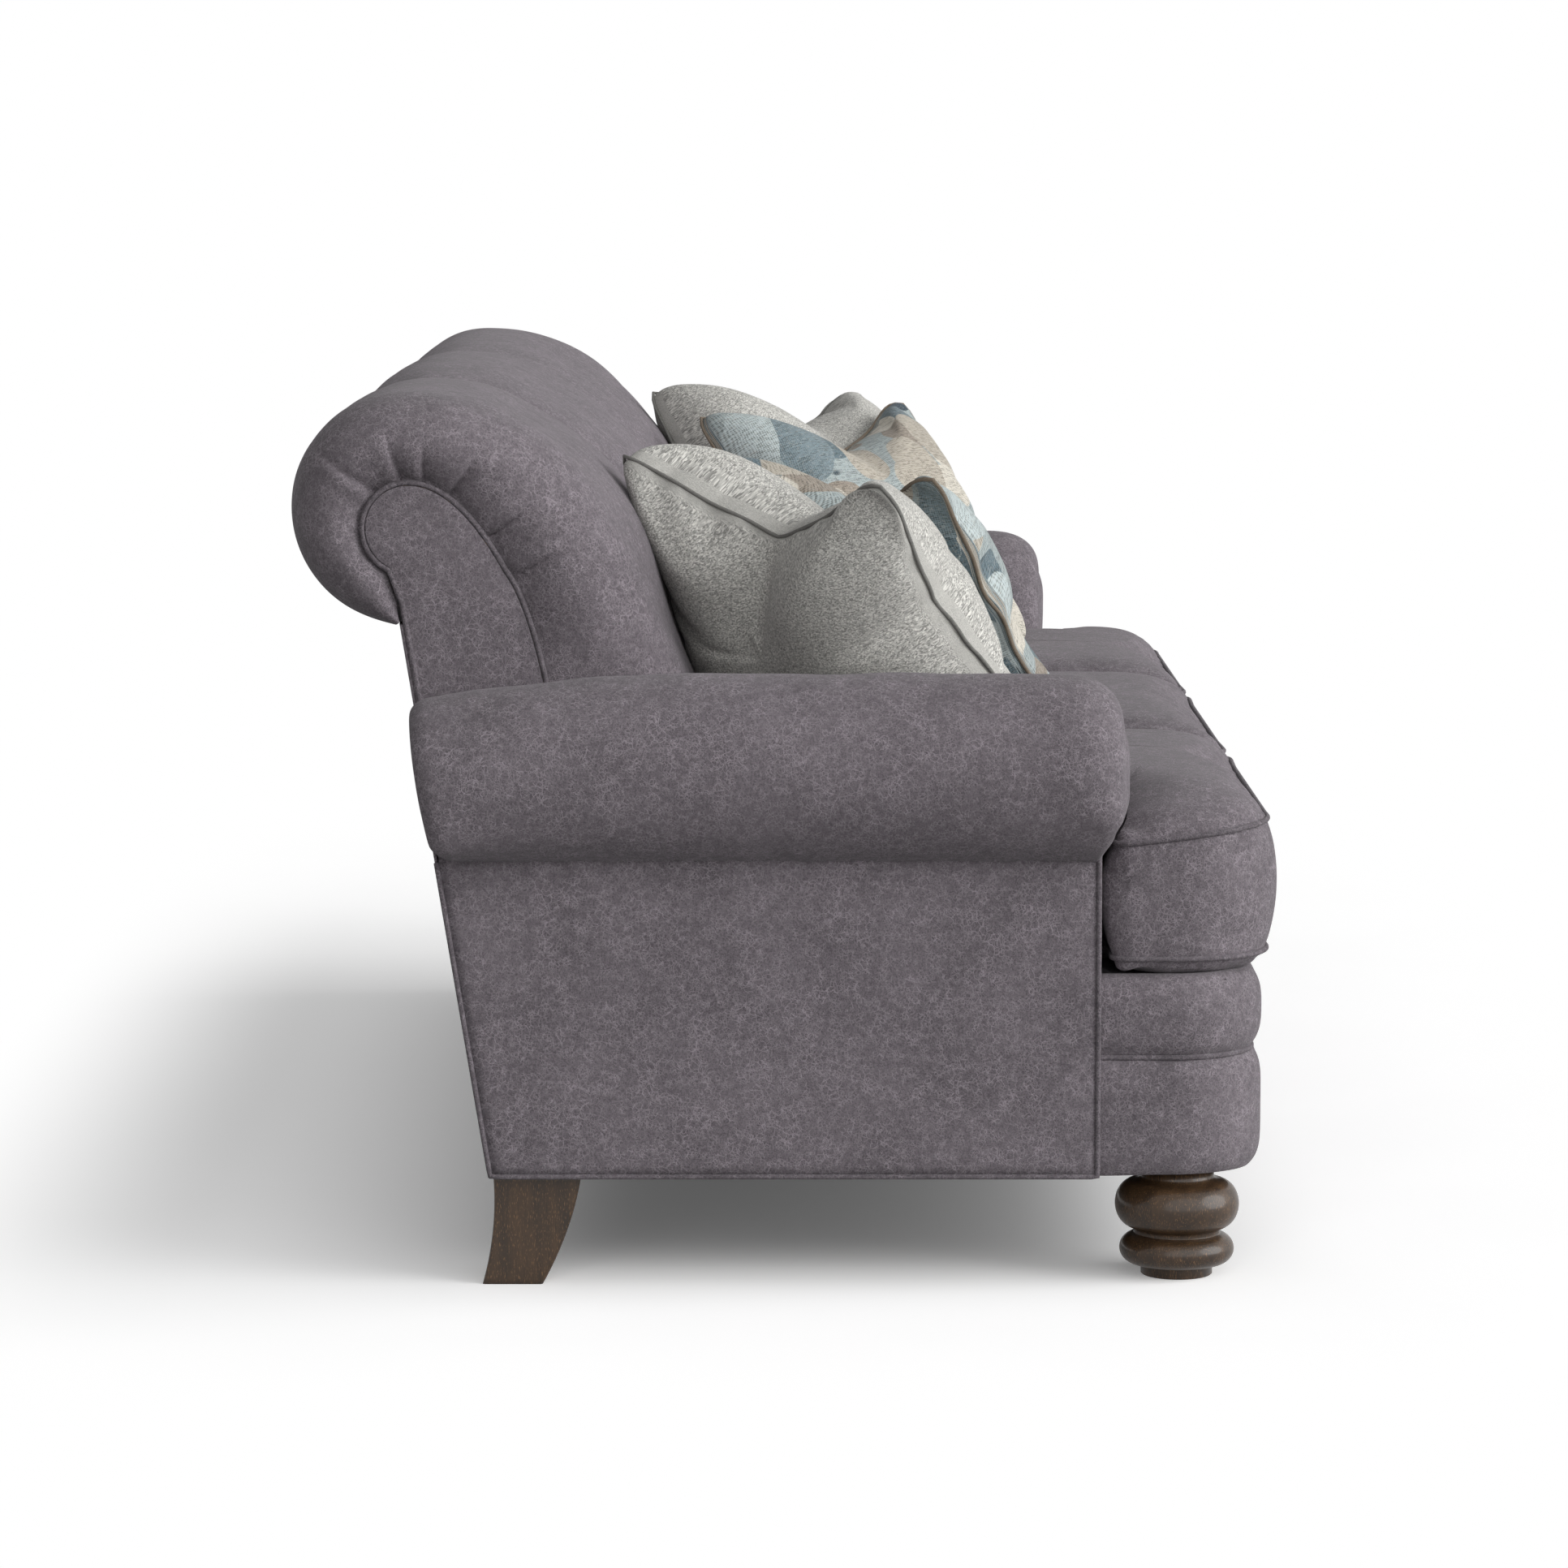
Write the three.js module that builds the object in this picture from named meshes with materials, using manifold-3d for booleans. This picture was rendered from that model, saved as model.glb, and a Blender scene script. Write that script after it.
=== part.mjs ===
// English roll arm sofa: three loose seat cushions, a scroll back in three padded sections,
// domed roll arms, a two-band front border, turned front feet, sabre rear legs and four throw
// pillows. Millimetres, +Z up. The seat faces -Y, and +X is on the right as seen from the front.
import * as THREE from 'three';
import { mergeVertices } from 'three/addons/utils/BufferGeometryUtils.js';
import Module from 'manifold-3d';

const wasm = await Module();
wasm.setup();

// Whole sofa
const overallWidth = 2235;
const underside = 118;
const deckHeight = 333;
const touchGap = 0.3;
const weltRadius = 3;
const cutOverrun = 5;

// Arms: a roll on an upright body
const armRollRadius = 100;
const armRollHeight = 560;
const armBodyWidth = 122.5;
const armFront = -342;
const armRollOverhang = 23;
const armDomeLength = 76;
const armDomeInset = 58;
const armEdgeRounding = 8;
const armRearRounding = 16;
const armRearBlend = 22;
const armCrestDrop = 28;
const armCrestDropStart = 80;
const armUndercutHeight = 48;
const outsidePanelThickness = 4;

// Back: a raked frame with a scroll head, padded in front and over the top
const rearAtUnderside = 313.5;
const backRakeDegrees = 9.25;
const scrollFaceOffset = 42.5;
const scrollBoardThickness = 30;
const scrollFacingThickness = 5;
const scrollFootFront = 214;
const scrollHeadRadius = 46;
const scrollHeadDepth = 399;
const scrollHeadHeight = 810;
const scrollThroatDepth = 297;
const scrollThroatDrop = 47;
const scrollBellyHeight = 520;
const scrollNeckDrop = 90;
const scrollNeckDepth = 262;
const padFront = 52;
const padSeatLineHeight = 520;
const padLeanDepth = 150;
const padLeanDrop = 53;
const padRollRadius = 125;
const padRollDepth = 405;
const padRollRise = 18;
const padSeamDip = 22;
const padDomeLength = 78;
const padDomeTurnDegrees = 125;
const padEndThickness = 7;
const padEndGap = 2.2;

// Seat cushions: boxed, welted, with ears in front of the arms on the end ones
const cushionFront = -532;
const cushionRear = 49;
const cushionJointGap = 0.9;
const cushionArmGap = 1.5;
const cushionEarReach = 104.5;
const cushionEarRear = -353;
const cushionCornerRadius = 108;
const cushionInnerRadius = 38;
const cushionRearRadius = 26;
const cushionEarRadius = 20;
const cushionBellyDepth = 20;
const cushionBellyReach = 70;
const cushionBoxing = 141;
const cushionCrown = 36;
const cushionSideBulge = 4.3;
const cushionFrontBulge = 10;
const cushionDrawReach = 130;
const cushionSideDraw = 3.8;
const cushionEarDrop = 20;
const cushionSpineMargin = 190;
const cushionEdgeStep = 96;

// Front border: two stuffed bands with a welt between them
const borderReach = 101.5;
const borderFace = -510;
const borderCornerRadius = 92;
const borderWeltHeight = 247;
const borderBulge = 12;
const borderWall = 30;

// Frame boards, springs and deck
const railThickness = 32;
const frontRailFront = -472;
const rearRailRear = 303;
const stretcherDrop = 83;
const armFrameThickness = 30;
const armFrameTopRail = 40;
const armFramePostDepth = 60;
const armFrameFrontInset = 14;
const armFrameTopRise = 25;
const armSideRailTop = 230;
const armTongueTop = 205;
const armPocketGap = 0.5;
const topRailRadius = 42;
const uprightTopInset = 5;
const cornerBlockSize = 88;
const scrollFacingLap = 4;
const cornerBlockHeight = 60;
const cornerBlockInset = 8;
const springCount = 6;
const springWaves = 7;
const springAmplitude = 26;
const springWireRadius = 2.2;
const springDrop = 33;
const springCrown = 12;
const deckThickness = 15;
const dustCoverThickness = 1.5;
const dustCoverMargin = 24;

// Front feet: turned, with two rings
const footOffset = 43.5;
const footY = -430;
const footPadRadius = 40;
const footPadHeight = 9;
const lowerRingRadius = 63;
const lowerRingHeight = 29;
const lowerRingHalf = 16;
const footNeckRadius = 48;
const footNeckHeight = 50;
const upperRingRadius = 68;
const upperRingHeight = 79;
const upperRingHalf = 22;
const footCollarRadius = 41;

// Rear legs: sabre shaped, cut from a board
const rearLegReach = 103.5;
const rearLegThickness = 52;
const rearLegTopFront = 214.5;
const rearLegTopRear = 309;
const rearLegFootFront = 256;
const rearLegFootRear = 321;
const rearLegSweep = 9;
const legNotchGap = 4;

// Throw pillows: square, knife edged with a welt, chopped in at the top
const pillowWidth = 410;
const pillowHeight = 402;
const pillowThickness = 142;
const pillowEdgeDraw = 15;
const pillowChop = 84;
const pillowCornerPull = 16;
const pillowCornerReach = 44;
const pillowValleyWidth = 48;
const pillowValleyFoot = -50;
const pillowValleyTop = 155;
const pillowYawDegrees = 45;
const greyPillow = { fromArm: 95.5, y: 46, leanDegrees: 34, tipDegrees: 4.5 };
const printPillow = { fromArm: 267.5, y: -26, leanDegrees: 36, tipDegrees: 1 };

// Shares that shape the forms
const crownRingShares = [0.975, 0.92, 0.83, 0.68, 0.42];
const bellyRingShares = [0.5, 0.86, 0.965];
const boxingShares = [0.2, 0.5, 0.8];
const puffShares = [0, 0.07, 0.24, 0.5, 0.76, 0.93];
const pillowRingShares = [0.3, 0.58, 0.8, 0.93];
const armDomeShares = [0, 0.1, 0.3, 0.6, 1];
const armLengthShares = [0.3, 0.65, 1];
const armRearShares = [0.5, 1];
const padStationShares = [0, 0.04, 0.14, 0.3, 0.5, 0.7, 0.86, 0.96, 1];
const padEndStationShares = [0, 0.05, 0.18, 0.45, 0.78, 1];
const padDomeShares = [0.28, 0.52, 0.76, 1];
const pillowValleyShare = 0.32;
const weltSwellShare = 1.25;
const pillowSideShares = [0, 0.07, 0.25, 0.5, 0.75, 0.93];
const borderTurnShares = [0, 0.25, 0.5, 0.75, 1];
const deckTurnShares = [0, 0.5, 1];
const scrollHeadTurnShare = 0.36;
const cushionJointShare = 0.3695;
const padJointShare = 0.351;
const springPitchShare = 0.3075;
const padRollTurnShare = 0.47;

// Powers that shape the curves
const pillowShoulderPower = 2.4;
const pillowFullnessPower = 0.62;
const seamPower = 3;
const puffPower = 3;
const softeningPower = 3;
const springFlatPower = 0.7;

// How finely the curved forms are divided
const cushionCornerSteps = 3;
const scrollFrontSteps = 9;
const scrollShoulderSteps = 5;
const scrollHeadSteps = 8;
const armArcSteps = 15;
const weltSides = 6;
const topRailSides = 12;
const springWireSides = 4;
const springWaveSteps = 6;
const footRingSteps = 5;
const footSides = 24;
const legEdgeSteps = 8;

// The two ends of the sofa, as seen from the front
const sides = [['left', -1], ['right', 1]];

// Derived places
const armRollX = overallWidth / 2 - armRollRadius;
const armInnerX = armRollX - armRollRadius;
const armOuterX = armInnerX + armBodyWidth;
const scrollFaceX = armInnerX + scrollFaceOffset;
const cushionJoint = armInnerX * cushionJointShare;
const cushionEarX = armInnerX + cushionEarReach;
const padSectionJoint = armInnerX * padJointShare;
const borderHalfWidth = armInnerX + borderReach;
const springPitch = armInnerX * springPitchShare;
const footX = armInnerX + footOffset;
const rearLegOuterX = armInnerX + rearLegReach;
const armFrameTopHeight = armRollHeight + armFrameTopRise;
const armCoverOuterX = armOuterX - outsidePanelThickness - touchGap;
const armRollUnderside = armRollHeight - armRollRadius;
const armShoulderHeight = armRollHeight + armRollRadius / 2;
const rakeSlope = Math.tan(THREE.MathUtils.degToRad(backRakeDegrees));
const coverRearGap = outsidePanelThickness + touchGap;
const scrollBoardOuterX = scrollFaceX - scrollFacingThickness - touchGap;
const scrollBoardInnerX = scrollBoardOuterX - scrollBoardThickness;
const padDomeStart = scrollBoardOuterX - padDomeLength;
const padDomeTurn = THREE.MathUtils.degToRad(padDomeTurnDegrees);
const padDomeDepth = padDomeLength - padEndGap;
const padDomeReach = padDomeDepth / Math.sin(padDomeTurn);
const armFrameInner = scrollBoardOuterX + touchGap;
const armTopAtScroll = armRollHeight + Math.sqrt(armRollRadius ** 2 - (armRollX - scrollFaceX) ** 2);
const cornerBlockRear = frontRailFront + railThickness + touchGap + cornerBlockSize;
const cushionBottomEdge = deckHeight + touchGap + cushionBellyDepth;
const cushionTopEdge = cushionBottomEdge + cushionBoxing;
const padBottom = deckHeight + touchGap;
const railTop = deckHeight - deckThickness - touchGap;
const stretcherTop = deckHeight - stretcherDrop;
const springHeight = deckHeight - springDrop;
const scrollThroatHeight = scrollHeadHeight - scrollThroatDrop;
const scrollNeckHeight = scrollHeadHeight - scrollNeckDrop;
const padLeanHeight = scrollHeadHeight - padLeanDrop;
const padRollHeight = scrollHeadHeight + padRollRise;

// Materials, with the photograph's colours
const coverFabric = new THREE.MeshStandardMaterial({ color: 0x716b70, roughness: 0.92, metalness: 0 });
const greyFabric = new THREE.MeshStandardMaterial({ color: 0xa9a8a3, roughness: 0.95, metalness: 0 });
const printFabric = new THREE.MeshStandardMaterial({ color: 0x8fa0a6, roughness: 0.93, metalness: 0 });
const turnedWood = new THREE.MeshStandardMaterial({ color: 0x4b3a2b, roughness: 0.42, metalness: 0 });
const frameWood = new THREE.MeshStandardMaterial({ color: 0xb08d62, roughness: 0.8, metalness: 0 });
const springSteel = new THREE.MeshStandardMaterial({ color: 0x8a8d90, roughness: 0.4, metalness: 0.9 });
const dustCloth = new THREE.MeshStandardMaterial({ color: 0x1d1d1f, roughness: 1, metalness: 0 });

const sofa = new THREE.Group();

function add(name, geometry, material) {
  const mesh = new THREE.Mesh(geometry, material);
  mesh.name = name;
  sofa.add(mesh);
  return mesh;
}

// The rear plane of the frame leans back as it rises.
function rearAt(height) {
  return rearAtUnderside + (height - underside) * rakeSlope;
}

// Closed solids from rings, slabs and cuts

// Turns points and triangles into a geometry whose faces point out.
function closedGeometry(points, triangles) {
  let volume = 0;
  for (const [a, b, c] of triangles) {
    volume += points[a].dot(points[b].clone().cross(points[c]));
  }
  const facing = volume < 0 ? triangles.map(([a, b, c]) => [a, c, b]) : triangles;
  const geometry = new THREE.BufferGeometry().setFromPoints(points);
  geometry.setIndex(facing.flat());
  geometry.computeVertexNormals();
  return geometry;
}

// Quads between two rings of the same length that start at two places in the point list.
function ringWall(first, second, count) {
  const wall = [];
  for (let i = 0; i < count; i += 1) {
    const next = (i + 1) % count;
    wall.push([first + i, first + next, second + next]);
    wall.push([first + i, second + next, second + i]);
  }
  return wall;
}

// A solid lofted through rings, closed by a point at each end.
function loftToPoints(rings, startPoint, endPoint) {
  const count = rings[0].length;
  const points = [...rings.flat(), startPoint, endPoint];
  const start = points.length - 2;
  const end = points.length - 1;
  const last = (rings.length - 1) * count;
  const triangles = [];
  for (let k = 0; k + 1 < rings.length; k += 1) {
    triangles.push(...ringWall(k * count, (k + 1) * count, count));
  }
  for (let i = 0; i < count; i += 1) {
    const next = (i + 1) % count;
    triangles.push([start, next, i]);
    triangles.push([end, last + i, last + next]);
  }
  return closedGeometry(points, triangles);
}

// Triangles over a flat or nearly flat ring, found on the plane of its own normal.
function capTriangles(ring, offset, reverse) {
  const normal = new THREE.Vector3();
  ring.forEach((point, i) => normal.add(point.clone().cross(ring[(i + 1) % ring.length])));
  normal.normalize();
  const helper = Math.abs(normal.z) < 0.9 ? new THREE.Vector3(0, 0, 1) : new THREE.Vector3(1, 0, 0);
  const across = helper.clone().cross(normal).normalize();
  const up = normal.clone().cross(across);
  const flat = ring.map((point) => new THREE.Vector2(point.dot(across), point.dot(up)));
  return THREE.ShapeUtils.triangulateShape(flat, []).map(([a, b, c]) => {
    const turn = flat[b].clone().sub(flat[a]).cross(flat[c].clone().sub(flat[a]));
    const ordered = (turn > 0) === !reverse ? [a, b, c] : [a, c, b];
    return ordered.map((index) => index + offset);
  });
}

// A solid lofted through rings, closed by flat ends.
function loft(rings) {
  const count = rings[0].length;
  const points = rings.flat();
  const last = (rings.length - 1) * count;
  const triangles = [];
  for (let k = 0; k + 1 < rings.length; k += 1) {
    triangles.push(...ringWall(k * count, (k + 1) * count, count));
  }
  triangles.push(...capTriangles(rings[0], 0, true));
  triangles.push(...capTriangles(rings[rings.length - 1], last, false));
  return closedGeometry(points, triangles);
}

// A loft closed at each end by a strip that joins each point to its partner, first to last.
function pairedLoft(rings) {
  const count = rings[0].length;
  const half = count / 2;
  const points = rings.flat();
  const last = (rings.length - 1) * count;
  const triangles = [];
  for (let k = 0; k + 1 < rings.length; k += 1) {
    triangles.push(...ringWall(k * count, (k + 1) * count, count));
  }
  for (let i = 0; i + 1 < half; i += 1) {
    const across = count - 1 - i;
    triangles.push([i, across, across - 1]);
    triangles.push([i, across - 1, i + 1]);
    triangles.push([last + i, last + across - 1, last + across]);
    triangles.push([last + i, last + i + 1, last + across - 1]);
  }
  return closedGeometry(points, triangles);
}

// A slab from a flat outline, with each of its two faces placed by a function.
function slab(outline, placeNear, placeFar) {
  return loft([outline.map(placeNear), outline.map(placeFar)]);
}

function block(x0, x1, y0, y1, z0, z1) {
  const geometry = new THREE.BoxGeometry(Math.abs(x1 - x0), y1 - y0, z1 - z0);
  geometry.translate((x0 + x1) / 2, (y0 + y1) / 2, (z0 + z1) / 2);
  return geometry;
}

function manifoldOf(geometry) {
  const bare = geometry.clone();
  bare.deleteAttribute('normal');
  bare.deleteAttribute('uv');
  const merged = mergeVertices(bare);
  const vertProperties = new Float32Array(merged.attributes.position.array);
  const triVerts = new Uint32Array(merged.index.array);
  return new wasm.Manifold(new wasm.Mesh({ numProp: 3, vertProperties, triVerts }));
}

function geometryOf(manifold) {
  const mesh = manifold.getMesh();
  const geometry = new THREE.BufferGeometry();
  geometry.setAttribute('position', new THREE.BufferAttribute(mesh.vertProperties, 3));
  geometry.setIndex(new THREE.BufferAttribute(mesh.triVerts, 1));
  geometry.computeVertexNormals();
  return geometry;
}

function cut(geometry, ...tools) {
  let solid = manifoldOf(geometry);
  for (const tool of tools) {
    solid = solid.subtract(manifoldOf(tool));
  }
  return geometryOf(solid);
}

// A round bar along a curve.
function bar(curve, radius, sides, steps) {
  const section = new THREE.Shape();
  for (let i = 0; i < sides; i += 1) {
    const angle = (i / sides) * 2 * Math.PI;
    const place = [radius * Math.cos(angle), radius * Math.sin(angle)];
    if (i === 0) {
      section.moveTo(...place);
    } else {
      section.lineTo(...place);
    }
  }
  return new THREE.ExtrudeGeometry(section, { steps, extrudePath: curve, bevelEnabled: false });
}

// Outlines in plan

// A closed outline with rounded corners, its long edges divided into even steps.
function roundedOutline(corners, edgeStep, cornerSteps) {
  const outline = [];
  const count = corners.length;
  corners.forEach(({ at, radius }, i) => {
    const before = corners[(i + count - 1) % count].at;
    const after = corners[(i + 1) % count].at;
    const toBefore = before.clone().sub(at).normalize();
    const toAfter = after.clone().sub(at).normalize();
    const halfAngle = Math.acos(toBefore.dot(toAfter)) / 2;
    const reach = radius / Math.tan(halfAngle);
    const start = at.clone().addScaledVector(toBefore, reach);
    const end = at.clone().addScaledVector(toAfter, reach);
    const bisector = toBefore.clone().add(toAfter).normalize();
    const centre = at.clone().addScaledVector(bisector, radius / Math.sin(halfAngle));
    const startAngle = start.clone().sub(centre).angle();
    let sweep = end.clone().sub(centre).angle() - startAngle;
    sweep = sweep > Math.PI ? sweep - 2 * Math.PI : sweep;
    sweep = sweep < -Math.PI ? sweep + 2 * Math.PI : sweep;
    for (let k = 0; k <= cornerSteps; k += 1) {
      const angle = startAngle + (sweep * k) / cornerSteps;
      const out = new THREE.Vector2(Math.cos(angle), Math.sin(angle));
      outline.push(centre.clone().addScaledVector(out, radius));
    }
    const nextCorner = corners[(i + 1) % count];
    const nextAfter = corners[(i + 2) % count].at;
    const nextHalf = nextAfter.clone().sub(after).normalize().dot(at.clone().sub(after).normalize());
    const nextReach = nextCorner.radius / Math.tan(Math.acos(nextHalf) / 2);
    const edgeEnd = after.clone().addScaledVector(toAfter, -nextReach);
    const pieces = Math.max(1, Math.round(end.distanceTo(edgeEnd) / edgeStep));
    for (let k = 1; k < pieces; k += 1) {
      outline.push(end.clone().lerp(edgeEnd, k / pieces));
    }
  });
  return outline;
}

function signedArea(outline) {
  return outline.reduce((sum, point, i) => sum + point.cross(outline[(i + 1) % outline.length]), 0) / 2;
}

// Moves each point of a closed outline outwards by its own distance.
function swollen(outline, distanceAt) {
  const outward = signedArea(outline) > 0 ? 1 : -1;
  const count = outline.length;
  return outline.map((point, i) => {
    const along = outline[(i + 1) % count].clone().sub(outline[(i + count - 1) % count]).normalize();
    const normal = new THREE.Vector2(along.y, -along.x).multiplyScalar(outward);
    return point.clone().addScaledVector(normal, distanceAt(point, normal));
  });
}

// A distance to the whole outline that stays smooth where its nearest edge changes.
function softDistance(point, outline) {
  let sum = 0;
  outline.forEach((start, i) => {
    const along = outline[(i + 1) % outline.length].clone().sub(start);
    const share = THREE.MathUtils.clamp(point.clone().sub(start).dot(along) / along.lengthSq(), 0, 1);
    const distance = point.distanceTo(start.clone().addScaledVector(along, share));
    sum += (cushionEdgeStep / Math.max(distance, touchGap)) ** softeningPower;
  });
  return cushionEdgeStep / sum ** (1 / softeningPower);
}

// Rises like a quarter round from 0 at an edge to 1 at the given reach.
function roundRise(distance, reach) {
  const left = 1 - THREE.MathUtils.clamp(distance / reach, 0, 1);
  return Math.sqrt(1 - left * left);
}

// Seat cushions

function middleCushionCorners() {
  const half = cushionJoint - cushionJointGap;
  return [
    { at: new THREE.Vector2(-half, cushionRear), radius: cushionRearRadius },
    { at: new THREE.Vector2(-half, cushionFront), radius: cushionInnerRadius },
    { at: new THREE.Vector2(half, cushionFront), radius: cushionInnerRadius },
    { at: new THREE.Vector2(half, cushionRear), radius: cushionRearRadius },
  ];
}

function endCushionCorners(side) {
  const inner = side * (cushionJoint + cushionJointGap);
  const arm = side * (armInnerX - cushionArmGap);
  const ear = side * cushionEarX;
  return [
    { at: new THREE.Vector2(inner, cushionRear), radius: cushionRearRadius },
    { at: new THREE.Vector2(inner, cushionFront), radius: cushionInnerRadius },
    { at: new THREE.Vector2(ear, cushionFront), radius: cushionCornerRadius },
    { at: new THREE.Vector2(ear, cushionEarRear), radius: cushionEarRadius },
    { at: new THREE.Vector2(arm, cushionEarRear), radius: cushionEarRadius },
    { at: new THREE.Vector2(arm, cushionRear), radius: cushionRearRadius },
  ];
}

// The ears slope down towards the arms.
function cushionTopEdgeAt(point) {
  const outward = THREE.MathUtils.clamp((Math.abs(point.x) - armInnerX) / (cushionEarX - armInnerX), 0, 1);
  const back = THREE.MathUtils.clamp((point.y - cushionFront) / (cushionEarRear - cushionFront), 0, 1);
  return cushionTopEdge - cushionEarDrop * outward * back;
}

// The place on a cushion's spine that a point of its outline shrinks towards. Points in front of
// the spine's reach share its front end, which keeps the rings of an eared cushion whole.
function spinePlace(point, spine) {
  const length = cushionRear - spine.reachFront;
  const share = THREE.MathUtils.clamp((point.y - spine.reachFront) / length, 0, 1);
  return new THREE.Vector2(spine.x, THREE.MathUtils.lerp(spine.front, spine.rear, share));
}

// Rings from the middle of the belly, round the two welts and the boxing, to the crown.
function cushionGeometry(corners, spine) {
  const sharp = corners.map(({ at }) => at);
  const outline = roundedOutline(corners, cushionEdgeStep, cushionCornerSteps);
  const cornerDistance = (point) => Math.min(...sharp.map((corner) => corner.distanceTo(point)));
  const drawn = swollen(outline, (point) => {
    return -weltRadius - cushionSideDraw * Math.min(1, cornerDistance(point) / cushionDrawReach);
  });
  const ringAt = (swellAt, heightAt) => swollen(drawn, swellAt).map((point) => {
    return new THREE.Vector3(point.x, point.y, heightAt(point));
  });
  const seam = () => 0;
  const bead = () => weltRadius * weltSwellShare;
  const centre = new THREE.Vector2(spine.x, (spine.front + spine.rear) / 2);
  const reach = softDistance(centre, drawn);
  const riseAt = (place) => roundRise(softDistance(place, drawn), reach);
  const inwards = (point, share) => spinePlace(point, spine).lerp(point, share);
  const rings = [];
  for (const share of bellyRingShares) {
    rings.push(drawn.map((point) => {
      const place = inwards(point, share);
      const sag = roundRise(softDistance(place, drawn), cushionBellyReach);
      return new THREE.Vector3(place.x, place.y, cushionBottomEdge - cushionBellyDepth * sag);
    }));
  }
  rings.push(ringAt(seam, () => cushionBottomEdge - weltRadius));
  rings.push(ringAt(bead, () => cushionBottomEdge));
  rings.push(ringAt(seam, () => cushionBottomEdge + weltRadius));
  for (const share of boxingShares) {
    const arch = 4 * share * (1 - share);
    const bulge = (point, normal) => {
      return arch * THREE.MathUtils.lerp(cushionSideBulge, cushionFrontBulge, Math.max(0, -normal.y) ** 2);
    };
    rings.push(ringAt(bulge, (point) => {
      return THREE.MathUtils.lerp(cushionBottomEdge, cushionTopEdgeAt(point), share);
    }));
  }
  rings.push(ringAt(seam, (point) => cushionTopEdgeAt(point) - weltRadius));
  rings.push(ringAt(bead, cushionTopEdgeAt));
  rings.push(ringAt(seam, (point) => cushionTopEdgeAt(point) + weltRadius));
  for (const share of crownRingShares) {
    rings.push(drawn.map((point) => {
      const place = inwards(point, share);
      const edge = cushionTopEdgeAt(place) + weltRadius;
      return new THREE.Vector3(place.x, place.y, edge + (cushionCrown - weltRadius) * riseAt(place));
    }));
  }
  const bottom = new THREE.Vector3(centre.x, centre.y, cushionBottomEdge - cushionBellyDepth);
  const top = new THREE.Vector3(centre.x, centre.y, cushionTopEdge + cushionCrown);
  return loftToPoints(rings, bottom, top);
}

function addSeatCushions() {
  const rear = cushionRear - cushionSpineMargin;
  const earMiddle = (cushionFront + cushionEarRear) / 2;
  const endSpine = (side) => {
    return { x: side * (cushionJoint + armInnerX) / 2, front: earMiddle, rear, reachFront: cushionEarRear };
  };
  const middleSpine = { x: 0, front: cushionFront + cushionSpineMargin, rear, reachFront: cushionFront };
  return {
    left: add('seat_cushion_left', cushionGeometry(endCushionCorners(-1), endSpine(-1)), coverFabric),
    middle: add('seat_cushion_middle', cushionGeometry(middleCushionCorners(), middleSpine), coverFabric),
    right: add('seat_cushion_right', cushionGeometry(endCushionCorners(1), endSpine(1)), coverFabric),
  };
}

// Throw pillows

// The seam's outline: sides drawn in between rounded corners, and a notch chopped in the top.
function pillowOutline() {
  const half = new THREE.Vector2(pillowWidth / 2, pillowHeight / 2);
  const signs = [[-1, -1], [1, -1], [1, 1], [-1, 1]];
  const corners = signs.map(([x, y]) => new THREE.Vector2(x, y).multiply(half));
  return corners.flatMap((corner, i) => {
    const next = corners[(i + 1) % corners.length];
    const top = i === 2;
    const inward = new THREE.Vector2(corner.y - next.y, next.x - corner.x).normalize();
    return pillowSideShares.map((share) => {
      const middle = 1 - Math.abs(2 * share - 1);
      const draw = top ? pillowChop * middle : pillowEdgeDraw * (1 - (1 - middle) ** 2);
      const place = corner.clone().lerp(next, share).addScaledVector(inward, draw);
      const nearest = Math.min(place.distanceTo(corner), place.distanceTo(next));
      const pull = pillowCornerPull * Math.max(0, 1 - nearest / pillowCornerReach) ** 2;
      return place.addScaledVector(place.clone().normalize(), -pull);
    });
  });
}

// Half the pillow's thickness: full in the middle, pinched at the seam and along the chop's valley.
function pillowHalfThickness(point, share) {
  const full = (pillowThickness / 2) * (1 - share ** pillowShoulderPower) ** pillowFullnessPower;
  const across = Math.exp(-((point.x / pillowValleyWidth) ** 2));
  const up = THREE.MathUtils.smoothstep(point.y, pillowValleyFoot, pillowValleyTop);
  return full * (1 - pillowValleyShare * across * up);
}

function pillowGeometry() {
  const outline = pillowOutline();
  const face = (sign) => pillowRingShares.map((share) => outline.map((point) => {
    const place = point.clone().multiplyScalar(share);
    return new THREE.Vector3(place.x, sign * pillowHalfThickness(place, share), place.y);
  }));
  const seam = (swell, sign) => swollen(outline, () => swell).map((point) => {
    return new THREE.Vector3(point.x, sign * weltRadius, point.y);
  });
  const rings = [
    ...face(-1), seam(-weltRadius, -1), seam(0, 0), seam(-weltRadius, 1), ...face(1).reverse(),
  ];
  const middle = pillowHalfThickness(new THREE.Vector2(0, 0), 0);
  return loftToPoints(rings, new THREE.Vector3(0, -middle, 0), new THREE.Vector3(0, middle, 0));
}

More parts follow.
